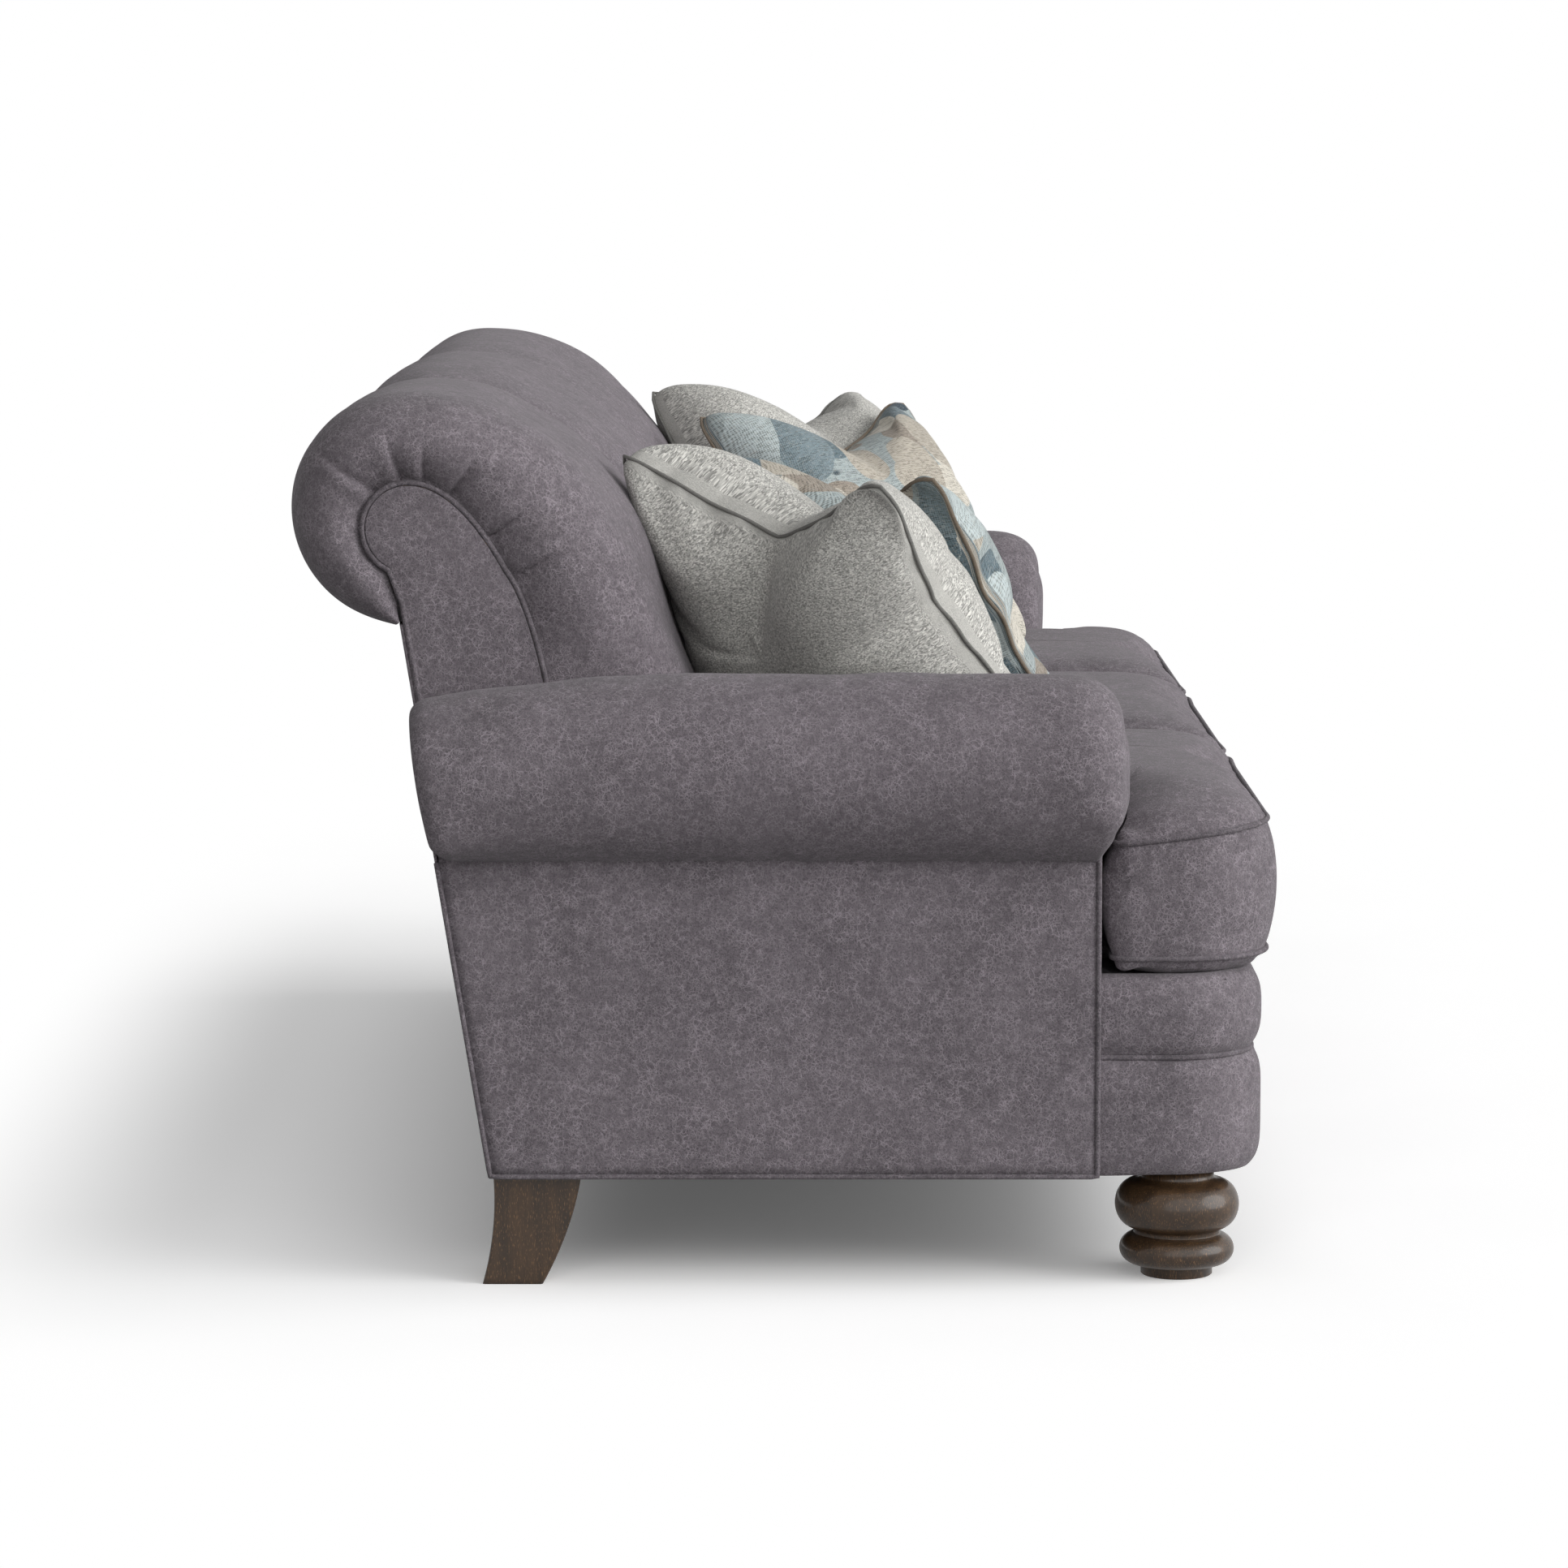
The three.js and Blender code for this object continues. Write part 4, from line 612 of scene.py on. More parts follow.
def plain_cloth(name, colour, thread=0.0012):
    """A plain tight weave."""
    finish = Finish(name)
    place = finish.place()
    warp = finish.noise(finish.place((1.0, 0.12, 1.0)), 1 / thread, 2)
    weft = finish.noise(finish.place((0.12, 1.0, 1.0)), 1 / thread, 2)
    wide = finish.noise(place, 18, 3)
    tonal = warp * 0.35 + weft * 0.35 + wide * 0.3
    base = finish.mix(tonal.step(0.25, 0.75), shade(colour, 0.72), shade(colour, 1.25))
    normal = finish.bump(warp + weft, thread * 0.4, 0.5)
    return finish.surface(base, 0.95, normal, Specular_IOR_Level=0.2)


def dark_wood(name):
    """Stained hardwood with upright grain under a satin lacquer."""
    colour = tuple(bpy.context.scene.sofa_wood.stain_colour)
    finish = Finish(name)
    upright = finish.place((1, 1, 0.07))
    drift = finish.noise(finish.place((1, 1, 0.25)), 12, 3, output="Color")
    bent = finish.shifted(upright, drift, 0.02)
    figure = finish.noise(bent, 75, 5, 0.6)
    pores = finish.noise(finish.place((1, 1, 0.035)), 620, 3, 0.6)
    clouds = finish.noise(finish.place(), 24, 3)
    tonal = figure * 0.55 + clouds * 0.3 + pores * 0.15
    base = finish.tones(tonal, colour, ((0.30, 0.32), (0.46, 0.80), (0.60, 1.6), (0.76, 3.2)))
    flecks = finish.noise(finish.place((1, 1, 0.22)), 900, 2).step(0.56, 0.70)
    gilt = finish.mix(flecks * 0.75, base, shade(colour, 5.2))
    specks = pores.step(0.56, 0.70)
    darker = finish.mix(specks * 0.75, gilt, shade(colour, 0.25))
    normal = finish.bump(pores * 0.5 + figure * 0.5, 0.00035, 0.5)
    return finish.surface(darker, 0.42 + clouds * 0.14, normal, Coat_Weight=0.38, Coat_Roughness=0.17,
                          Specular_IOR_Level=0.25)


def raw_wood(name):
    """Sawn hardwood of the hidden frame."""
    finish = Finish(name)
    stretched = finish.place((0.08, 0.3, 0.3))
    figure = finish.noise(stretched, 90, 5, 0.6)
    saw = finish.noise(finish.place((0.02, 1, 1)), 500, 2)
    base = finish.ramp(figure * 0.8 + saw * 0.2, [(0.3, (0.29, 0.18, 0.085)), (0.55, (0.46, 0.30, 0.155)),
                                                (0.75, (0.60, 0.43, 0.25))])
    return finish.surface(base, 0.75 + saw * 0.15, finish.bump(saw + figure, 0.0006, 0.5))


def spring_wire(name):
    """Oiled spring wire with a dull bloom."""
    finish = Finish(name)
    bloom = finish.noise(finish.place(), 60, 4)
    base = finish.mix(bloom.step(0.35, 0.7), (0.30, 0.30, 0.31, 1), (0.48, 0.48, 0.49, 1))
    return finish.surface(base, 0.30 + bloom * 0.25, finish.bump(bloom, 0.0002, 0.4), Metallic=1.0)


MATERIALS = {}


def material(name, maker, *args, **settings):
    """One material of each name, made when it is first asked for."""
    if name not in MATERIALS:
        MATERIALS[name] = maker(name, *args, **settings)
    return MATERIALS[name]


def cover():
    """The cover's cloth."""
    return material("cover_cloth", cover_cloth)


def shaded_piping():
    """The cover's cloth on its welts, darkened with painted shade."""
    return material("cover_piping", cover_cloth, tone=PIPING_PAINTED_SHADE)


# The back's profiles, in depth and height

def scroll_profile(swell, lower, steps=(66, 56, 70)):
    """The scroll of the frame: up the front, over the shoulder, round the head behind."""
    top = SCROLL_HEAD[1] + SCROLL_HEAD_RADIUS
    front = curve_through([(0.214, UNDERSIDE), (0.214, 0.520), (0.262, 0.720), SCROLL_THROAT], 160)
    front = evenly(front[front[:, 1] >= lower - 1e-9], steps[0])
    front[0, 1] = lower
    between = (SCROLL_THROAT[0] + SCROLL_HEAD[0]) / 2
    shoulder = curve_through([SCROLL_THROAT, (between, top), (SCROLL_HEAD[0], top)], steps[1] + 1)[1:]
    head = arc(SCROLL_HEAD, SCROLL_HEAD_RADIUS, math.pi / 2, -math.pi * 0.36, steps[2] + 1)[1:]
    return moved_out(np.vstack([front, shoulder, head]), swell)


def pad_profile(inset, steps=(66, 56, 70), crown=0.0):
    """The padding's face: up from the seat, leaning back, over in a roll to its underside. The crown
    fills the front under the shoulder and flattens the shoulder above it. The inset runs out at the
    hem, so that the seams' ends hide the boards behind."""
    foot, bend, neck = np.array(PAD_FOOT), np.array(PAD_BEND), np.array(PAD_NECK)
    top = PAD_ROLL_HEIGHT + PAD_ROLL_RADIUS
    reach = neck[0] + (neck[0] - bend[0]) * ((top - neck[1]) / (neck[1] - bend[1]))
    turn = curve_through([(foot[0], 0.455), bend, lerp(bend, neck, 0.28)], 14)
    front = evenly(np.vstack([foot, turn, neck]), steps[0])
    shoulder = curve_through([neck, (reach, top), (PAD_ROLL_DEPTH, top)], steps[1] + 1)[1:]
    centre = (PAD_ROLL_DEPTH, PAD_ROLL_HEIGHT)
    roll = arc(centre, PAD_ROLL_RADIUS, math.pi / 2, -math.pi * 0.47, steps[2] + 1)[1:]
    line = np.vstack([front, shoulder, roll])
    before = smooth(0.36 - line[:, 0], 0, 0.10)
    fill = np.exp(-((line[:, 1] - 0.790) / 0.075) ** 2) - 0.45 * np.exp(-((line[:, 1] - 0.925) / 0.030) ** 2)
    hem = smooth(line[:, 0], 0.36, 0.40) * smooth(PAD_ROLL_HEIGHT - line[:, 1], 0.050, 0.118)
    line = moved_out(line, crown * fill * before - inset * (1 - hem))
    line[0, 1] = PAD_BOTTOM
    return line


def seam_inset(share):
    """How far the padding is drawn in at a share of its width from one seam to the other."""
    return PAD_SEAM_DIP * (1 - np.sqrt(1 - np.abs(2 * share - 1) ** 3))


def pad_crown(share):
    """How far the padding is crowned at a share of its width."""
    return PAD_CROWN * (1 - abs(2 * share - 1) ** 2.5)


def hooked_ring(outer_x, outer, inner_x, inner):
    """A ring up the padding's face, over the roll, and back down along the scroll of the frame."""
    across = np.concatenate([np.zeros(len(outer)) + outer_x, np.full(len(inner), inner_x)])
    return np.column_stack([across, np.vstack([outer, inner[::-1]])])


def gather_depth(points, facing_x):
    """How far the cloth is drawn in at the gathers. Each is steep on its upper side and runs out
    softly on its lower side."""
    depth = np.zeros(len(points))
    flat = points[:, 1:] - (DEPTH_SHIFT, 0)
    near = smooth(np.abs(points[:, 0]), facing_x - 0.095, facing_x - 0.035)
    for start, end in GATHERS:
        start, end = np.array(start), np.array(end)
        length = np.linalg.norm(end - start)
        along = (end - start) / length
        reach = (flat - start) @ along / length
        across = (flat - start) @ np.array([-along[1], along[0]])
        fade = (1 - smooth(reach, 0.35, 1.45)) * smooth(reach, -0.45, 0.0) * near
        fold = np.where(across > 0, np.exp(-across / 0.0095), np.exp(across / 0.0014))
        swell = np.exp(-((across + 0.009) / 0.008) ** 2)
        depth += fade * (0.0022 * swell - 0.0080 * fold)
    return depth


def end_section_rows(side):
    """From the seam to the dome that turns back in to the scroll's facing."""
    start, dome = PAD_JOINT + GAP, SCROLL_BOARD_X - PAD_DOME_LENGTH
    steps = (70, 90, 130)
    inner = scroll_profile(GAP, PAD_BOTTOM, steps)
    rim = scroll_profile(0.0066, PAD_BOTTOM, steps)
    hem_end = (rear_at(PAD_HEM_HEIGHT) - PAD_HEM_INSET, PAD_HEM_HEIGHT)
    hem = evenly(np.vstack([rim[-steps[2]:], [hem_end]]), steps[2])
    rim = np.vstack([rim[:-steps[2]], hem])
    rows = []
    for share in np.concatenate([(0, 0.006, 0.02), np.linspace(0.045, 1, 44)]):
        x = side * lerp(start, dome, share)
        rows.append(hooked_ring(x, pad_profile(seam_inset(share / 2), steps, pad_crown(share)), x, inner))
    crowned = pad_profile(0, steps)
    reach = PAD_DOME_DEPTH / math.sin(PAD_DOME_TURN)
    for share in np.linspace(0, 1, 46)[1:]:
        turn = PAD_DOME_TURN * share
        clear = smooth(crowned[:, 1], 0.612, 0.750)
        plain = math.pi / 2 * share
        drawn = lerp(1 - math.cos(plain), (1 - math.cos(turn)) / (1 - math.cos(PAD_DOME_TURN)), clear)
        outer = lerp(crowned, rim, drawn[:, None])
        bulge = lerp(PAD_DOME_DEPTH * math.sin(plain), reach * math.sin(turn), clear)
        rows.append(hooked_ring(side * (dome + bulge), outer, side * (dome + PAD_DOME_DEPTH * share), inner))
    return rows


def middle_section_rows():
    """From one seam to the other."""
    half = PAD_JOINT - GAP
    inner = scroll_profile(GAP, PAD_BOTTOM)
    shares = np.concatenate([(0, 0.003, 0.01), np.linspace(0.025, 0.975, 46), (0.99, 0.997, 1)])
    rows = []
    for share in shares:
        x = lerp(-half, half, share)
        rows.append(hooked_ring(x, pad_profile(seam_inset(share), crown=pad_crown(share)), x, inner))
    return rows


def relax_face(piece, seed, amount):
    """Slow swells and hollows of stuffed cloth."""
    points = points_of(piece)
    swell = (waver(points[:, 0] + 0.6 * points[:, 2], (0.31, 0.19, 0.127), seed)
             * waver(points[:, 1] - 0.4 * points[:, 2], (0.27, 0.163, 0.11), seed + 1))
    press(piece, amount * swell)


# Arms

def roll_share(height):
    """0 on the arm's upright body, 1 on its roll. Between them the front runs out in a slope."""
    share = np.clip((np.asarray(height, float) - ROLL_UNDERSIDE) / 0.044, 0, 1)
    return lerp(share, smooth(share), 0.45)


def arm_section(count=56):
    """Half the points go up the inside and over the crest, half come down the outside."""
    turn_end = -math.acos((ARM_COVER_OUTER_X - ARM_ROLL_X) / ARM_ROLL_RADIUS)
    curl = arc((ARM_ROLL_X, ARM_ROLL_HEIGHT), ARM_ROLL_RADIUS, math.pi, turn_end, 240)
    crest = int(np.argmax(curl[:, 1]))
    inner = np.vstack([[(ARM_INNER_X, UNDERSIDE)], curl[:crest + 1]])
    outer = np.vstack([curl[crest:], [(ARM_COVER_OUTER_X, UNDERSIDE)]])
    line = np.vstack([evenly(inner, count), evenly(outer, count)])
    along = np.gradient(evenly(np.vstack([inner, outer[1:]]), 2 * count), axis=0)
    out = np.stack([-along[:, 1], along[:, 0]], 1)
    radial = line - (ARM_ROLL_X, ARM_ROLL_HEIGHT)
    out = np.where((line[:, 1:] > ARM_ROLL_HEIGHT) | (line[:, :1] > ARM_COVER_OUTER_X + 0.0005), radial, out)
    return line, out / np.linalg.norm(out, axis=1, keepdims=True)


def arm_ring(side, inset, depth):
    """The section drawn in by inset and placed at depth, both by height, with the crest sunk at the rear."""
    line, out = arm_section()
    heights = line[:, 1]
    spot = line - out * np.reshape(inset(heights), (-1, 1))
    deep = depth(np.minimum(spot[:, 1], heights))
    share = np.clip((deep - 0.08) / (rear_at(ARM_ROLL_HEIGHT) - 0.08), 0, None)
    drop = ARM_CREST_DROP * share ** 2 * roll_share(heights)
    return np.column_stack([side * spot[:, 0], deep, spot[:, 1] - drop])


def arm_end(ring, crest, slope=0.0, bulge=0.0):
    """Rings that close an arm's end, from the middle of its roll and of its body out to the last ring."""
    heights = ring[:, 2]
    side = np.sign(ring[0, 0])
    on_roll = heights > ROLL_UNDERSIDE
    spine_x = np.where(on_roll, side * ARM_ROLL_X, side * (ARM_INNER_X + ARM_COVER_OUTER_X) / 2)
    spine_z = np.where(on_roll, np.clip(heights, None, crest), heights)
    rings = []
    for share in (0.0, 0.35, 0.65, 0.88):
        z = lerp(spine_z, heights, share)
        y = ring[:, 1] + slope * (z - heights) - bulge * (1 - share ** 2) * roll_share(heights)
        rings.append(np.column_stack([lerp(spine_x, ring[:, 0], share), y, z]))
    return rings


def arm_rows(side):
    """An arm's rings from its domed front to its flat rear, closed at both ends."""

    def front(height):
        return ARM_FRONT - ARM_FRONT_OVERHANG * roll_share(height)

    def rear(height):
        return rear_at(height) - REAR_CLOTH_ROOM

    def full(height):
        return lerp(0.42, 1.0, smooth(height, 0.485, 0.575))

    def rounding(height):
        return lerp(0.008, ARM_DOME_LENGTH * full(height), roll_share(height))

    def inset(height):
        return lerp(0.008, ARM_DOME_INSET * full(height), roll_share(height))

    rows = []
    for angle in np.linspace(0, math.pi / 2, 26):
        near = math.sin(angle) ** ARM_DOME_POWER
        far = math.cos(angle) ** ARM_DOME_POWER if angle < 1.57 else 0.0
        rows.append(arm_ring(side, lambda h: inset(h) * (1 - near), lambda h: front(h) + rounding(h) * (1 - far)))
    caps = arm_end(rows[0], ARM_ROLL_HEIGHT + 0.01, bulge=0.007)
    for share in np.linspace(0, 1, 44)[1:]:
        rows.append(arm_ring(side, lambda h: 0 * h,
                             lambda h: lerp(front(h) + rounding(h), rear(h) - ARM_REAR_ROUNDING, share)))
    for angle in np.linspace(0, math.pi / 2, 7)[1:]:
        rows.append(arm_ring(side, lambda h: 0 * h + ARM_REAR_INSET * (1 - math.cos(angle)),
                             lambda h: rear(h) - ARM_REAR_ROUNDING * (1 - math.sin(angle))))
    return caps + rows + arm_end(rows[-1], ARM_ROLL_HEIGHT + 0.01 - ARM_CREST_DROP, slope=RAKE)[::-1]


def arm_tucks(points):
    """Small tucks round the domed front, and soft gathers along the roll's lower edge."""
    x, y = np.abs(points[:, 0]) - ARM_ROLL_X, points[:, 1] - DEPTH_SHIFT
    z = points[:, 2] - ARM_ROLL_HEIGHT
    angle, radius = np.arctan2(z, x), np.hypot(x, z)
    front = ARM_FRONT - ARM_FRONT_OVERHANG
    near_front = smooth(-(y - front), -0.085, -0.01) * smooth(radius, 0.02, 0.055) * roll_share(points[:, 2])
    depth = np.zeros(len(points))
    for place in (-2.35, -1.95, -1.55, -1.15, -0.78, 2.6, 2.2):
        depth -= 0.0024 * near_front * np.exp(-((angle - place) / 0.055) ** 2)
    crease = np.exp(-((points[:, 2] - 0.503 + 0.35 * (y - front)) / 0.0035) ** 2)
    depth -= 0.0024 * (crease * (1 - smooth(y - front, 0.025, 0.050)))
    low = np.exp(-((points[:, 2] - 0.468) / 0.016) ** 2) * (x > 0)
    depth += 0.0012 * low * waver(y, (0.043, 0.067, 0.098), 5)
    return depth


# Cushions and pillows

def rounded(corners, count):
    """An even closed outline round corners given as x, depth and radius."""
    line = []
    for k, (x, y, radius) in enumerate(corners):
        at = np.array((x, y))
        before = np.array(corners[k - 1][:2]) - at
        after = np.array(corners[(k + 1) % len(corners)][:2]) - at
        before, after = before / np.linalg.norm(before), after / np.linalg.norm(after)
        reach = radius / math.tan(math.acos(before @ after) / 2)
        line.append(curve_through([at + before * reach, at + before * reach * 0.42, at + after * reach * 0.42,
                                   at + after * reach], 14))
    return around(np.vstack(line), count)


def soft_distance(places, outline):
    """The distance from a closed outline, rounded off where two sides are equally near."""
    start, end = outline, np.roll(outline, -1, 0)
    along = end - start
    share = np.einsum("pjk,jk->pj", places[:, None] - start, along) / (along ** 2).sum(1)
    nearest = start + along * np.clip(share, 0, 1)[..., None]
    distance = np.linalg.norm(places[:, None] - nearest, axis=2)
    return (np.maximum(distance, 3e-4) ** -3.0).sum(1) ** (-1 / 3)


def round_rise(share):
    """A quarter circle's height over a share of its radius."""
    return np.sqrt(1 - (1 - np.clip(share, 0, 1)) ** 2)


def seat_corners(side):
    """A seat cushion's corners as x, depth and radius. The end ones have an ear in front of the arm."""
    if side == 0:
        half = CUSHION_JOINT - 0.0009
        return [(-half, CUSHION_REAR, CUSHION_REAR_CORNER), (-half, CUSHION_FRONT, CUSHION_FRONT_CORNER),
                (half, CUSHION_FRONT, CUSHION_FRONT_CORNER), (half, CUSHION_REAR, CUSHION_REAR_CORNER)]
    inner, arm, ear = side * (CUSHION_JOINT + 0.0009), side * (ARM_INNER_X - 0.0015), side * CUSHION_EAR_X
    return [(inner, CUSHION_REAR, CUSHION_REAR_CORNER), (inner, CUSHION_FRONT, CUSHION_FRONT_CORNER),
            (ear, CUSHION_FRONT, CUSHION_EAR_CORNER), (ear, CUSHION_EAR_REAR, CUSHION_ARM_CORNER),
            (arm, CUSHION_EAR_REAR, CUSHION_ARM_CORNER), (arm, CUSHION_REAR, CUSHION_REAR_CORNER)]


def ear_drop(points):
    """How far the top seam sinks on an ear, towards the arm's front."""
    outward = np.clip((np.abs(points[:, 0]) - ARM_INNER_X) / (CUSHION_EAR_X - ARM_INNER_X), 0, 1)
    back = np.clip((points[:, 1] - CUSHION_FRONT) / (CUSHION_EAR_REAR - CUSHION_FRONT), 0, 1)
    return CUSHION_EAR_DROP * outward * back


def seat_form(side, count=216):
    """The cushion's rings, the rows that are sewn, and the two seam lines."""
    corners = seat_corners(side)
    outline = rounded(corners, count)
    if (np.cross(outline, np.roll(outline, -1, 0))).sum() > 0:
        outline = outline[::-1]
    sharp = np.array([corner[:2] for corner in corners])
    corner = np.linalg.norm(outline[:, None] - sharp, axis=2).min(1)
    drawn = moved_out(outline, -0.0030 - 0.0038 * np.minimum(1, corner / 0.13), closed=True)
    normal = moved_out(drawn, 1.0, closed=True) - drawn
    coarse = drawn[::6]
    reach_front = CUSHION_FRONT if side == 0 else CUSHION_EAR_REAR
    spine_x = 0.0 if side == 0 else side * (CUSHION_JOINT + ARM_INNER_X) / 2
    spine_front = CUSHION_FRONT + 0.19 if side == 0 else (CUSHION_FRONT + CUSHION_EAR_REAR) / 2
    spine_rear = CUSHION_REAR - 0.19
    share = np.clip((drawn[:, 1] - reach_front) / (CUSHION_REAR - reach_front), 0, 1)
    spine = np.column_stack([np.full(count, spine_x), lerp(spine_front, spine_rear, share)])
    centre = np.array([[spine_x, (spine_front + spine_rear) / 2]])
    middle = soft_distance(centre, coarse)[0]

    def face(share, edge, height, reach):
        places = lerp(spine, drawn, share)
        rise = round_rise(soft_distance(places, coarse) / reach)
        return np.column_stack([places, edge(places) + height * rise])

    def top_edge(places):
        return CUSHION_TOP_SEAM - ear_drop(places)

    rows, held = [], []
    for share in (0.0, 0.3, 0.55, 0.72, 0.83, 0.90, 0.945, 0.975, 0.992):
        rows.append(face(share, lambda p: CUSHION_BOTTOM_SEAM + 0 * p[:, 0], -CUSHION_BELLY, CUSHION_BELLY_REACH))
    held.append(len(rows))
    rows.append(np.column_stack([drawn, np.full(count, CUSHION_BOTTOM_SEAM)]))
    outward = np.maximum(0, -normal[:, 1]) ** 2
    by_arm = np.maximum(0, normal[:, 1]) ** 2 * (np.abs(drawn[:, 0]) > ARM_INNER_X) * (drawn[:, 1] < -0.3)
    for share in np.linspace(0, 1, 13)[1:-1]:
        bulge = 4 * share * (1 - share) * (lerp(0.0038, 0.009, outward) + 0.0085 * by_arm)
        places = drawn + normal * bulge[:, None]
        rows.append(np.column_stack([places, lerp(CUSHION_BOTTOM_SEAM, top_edge(places), share)]))
    held.append(len(rows))
    rows.append(np.column_stack([drawn, top_edge(drawn)]))
    for share in (0.985, 0.96, 0.925, 0.88, 0.825, 0.76, 0.68, 0.59, 0.49, 0.38, 0.26, 0.13, 0.0):
        rows.append(face(share, top_edge, CUSHION_CROWN, middle))
    seams = [np.column_stack([drawn + normal * 0.0016, np.full(count, CUSHION_BOTTOM_SEAM)]),
             np.column_stack([drawn + normal * 0.0016, top_edge(drawn) + 0.0006])]
    return rows, held, seams


def pucker(piece, seams, depth, reach, seed):
    """Small puckers that run from a seam into the cloth."""
    points = points_of(piece)
    amount = np.zeros(len(points))
    for k, seam in enumerate(seams):
        gap = points[:, None] - seam[::2]
        distance = np.linalg.norm(gap, axis=2)
        nearest = distance.argmin(1)
        along = nearest / len(seam[::2]) * np.linalg.norm(np.diff(seam, axis=0), axis=1).sum()
        wave = waver(along, (0.021, 0.034, 0.055), seed + k)
        amount += depth * wave * np.exp(-(distance.min(1) / reach) ** 2)
    press(piece, amount)


def pillow_side(corner, following, chop, count):
    """One side of a pillow's seam, drawn in between its rounded corners, or chopped to a notch."""
    share = np.linspace(0, 1, count)[:, None]
    side = following - corner
    inward = np.array([-side[1], side[0]]) / np.linalg.norm(side)
    middle = 1 - np.abs(2 * share - 1)
    bent = np.maximum(0, 1 - np.sqrt((1 - middle) ** 2 + 0.0009))
    draw = chop * bent ** 0.94 if chop else 0.015 * (1 - (1 - middle) ** 2)
    places = corner + side * share + inward * draw
    nearest = np.minimum(np.linalg.norm(places - corner, axis=1), np.linalg.norm(places - following, axis=1))
    pull = 0.016 * np.maximum(0, 1 - nearest / 0.044) ** 2
    return places - places / np.linalg.norm(places, axis=1, keepdims=True) * pull[:, None]


def pillow_outline(seed, side, chop, spread):
    """The seam's places in x and height, and its sway out of their plane. With spread 1 it flares at the
    foot of the side nearest the sofa's front, and its lower sides waver like a sewn welt."""
    signs = ((-1, -1), (1, -1), (1, 1), (-1, 1))
    corners = [np.array((sx * PILLOW_WIDTH, sz * PILLOW_HEIGHT)) / 2 for sx, sz in signs]
    lines = []
    for k, corner in enumerate(corners):
        line = pillow_side(corner, corners[(k + 1) % 4], chop if k == 2 else 0, 121)
        for part in (line[:61], line[60:]):
            lines.append(evenly(part, 17)[:-1])
    outline = np.vstack(lines)
    length = np.arange(len(outline)) * PILLOW_SEAM_STEP
    fore = smooth(outline[:, 0] * side, 0.09, 0.19)
    foot = smooth(-outline[:, 1], -0.02, 0.12)
    flare = np.interp(outline[:, 1], FLARE_HEIGHTS, FLARE_WIDTHS)
    outline[:, 0] += side * fore * flare * spread
    aft = smooth(-outline[:, 0] * side, 0.09, 0.19)
    outline[:, 0] -= side * 0.015 * spread * aft * smooth(-outline[:, 1], -0.07, 0.05)
    hump = np.exp(-((outline[:, 0] * side - 0.162) / 0.050) ** 2) * smooth(outline[:, 1], 0.08, 0.13)
    outline[:, 1] += 0.016 * hump
    low = smooth(-outline[:, 1], -0.13, 0.02) * smooth(outline[:, 0] * side, 0.10, 0.17)
    flat = moved_out(outline, (0.0008 + 0.0030 * low) * waver(length, (0.083, 0.123, 0.171), seed), closed=True)
    sway = (0.0012 + 0.0045 * low) * waver(length, (0.093, 0.131), seed + 9) - 0.012 * fore * foot * spread
    return flat, sway


def pillow_rise(places, share, fullness, shape, chop, slack):
    """How far a face stands from the seam's plane, with the pillow's fore side at negative x. The chopped
    top leaves a valley in it, the ears are thin, and its lower half can be slack."""
    full = fullness * (1 - share ** shape[0]) ** shape[1]
    for sign, depth, reach in ((-1, 0.75, 0.095), (1, 0.35, 0.070)):
        ear = np.array((sign * PILLOW_WIDTH, PILLOW_HEIGHT)) / 2
        full = full * (1 - depth * np.exp(-(np.linalg.norm(places - ear, axis=1) / reach) ** 2))
    full = full * (1 - slack * smooth(-places[:, 1], -0.04, 0.09))
    valley = np.exp(-(np.abs(places[:, 0] + 0.30 * (places[:, 1] - 0.11)) / 0.050) ** 1.5)
    up = smooth(places[:, 1], -0.090, 0.125)
    return full * (1 - chop * valley * up)


def pillow_form(seed, side, chop, spread, front, back):
    """A pillow's rings from the front face's middle to the back face's, with a flat plan and its seam."""
    outline, sway = pillow_outline(seed, side, chop, spread)
    shares = (0.0, 0.15, 0.30, 0.44, 0.56, 0.67, 0.765, 0.84, 0.90, 0.945, 0.975, 0.992)
    rows, plan = [], []

    def face(share, sign, fullness, shape, chop, slack):
        places = outline * share
        rise = sign * pillow_rise(places * (-side, 1), share, fullness, shape, chop, slack)
        rise = rise * (1 + 0.8 * side * places[:, 0]) if sign > 0 else rise
        rows.append(np.column_stack([places[:, 0], rise + sway * share ** 6, places[:, 1]]))
        plan.append(places + (1.0 + 0.5 * sign, 0))

    for share in shares:
        face(share, -1, front, (5.2, 0.46), 0.06, 0.32)
    seam = np.column_stack([outline[:, 0], sway, outline[:, 1]])
    rows.append(seam)
    plan.append(outline + (1.0, 0))
    for share in shares[::-1]:
        face(share, 1, back, (2.3, 0.57), 0.66, -0.06)
    return rows, plan, seam


def pillow_turn(side, lean, tip):
    """How a pillow stands in the corner: turned half to the front, leaning back and tipped to one side."""
    return (Matrix.Rotation(math.radians(-side * 45), 4, "Z") @ Matrix.Rotation(math.radians(-lean), 4, "X")
            @ Matrix.Rotation(math.radians(side * tip), 4, "Y"))


def centre_of(points):
    """The middle of the points' box."""
    return (points.min(0) + points.max(0)) / 2


# Operators and their settings

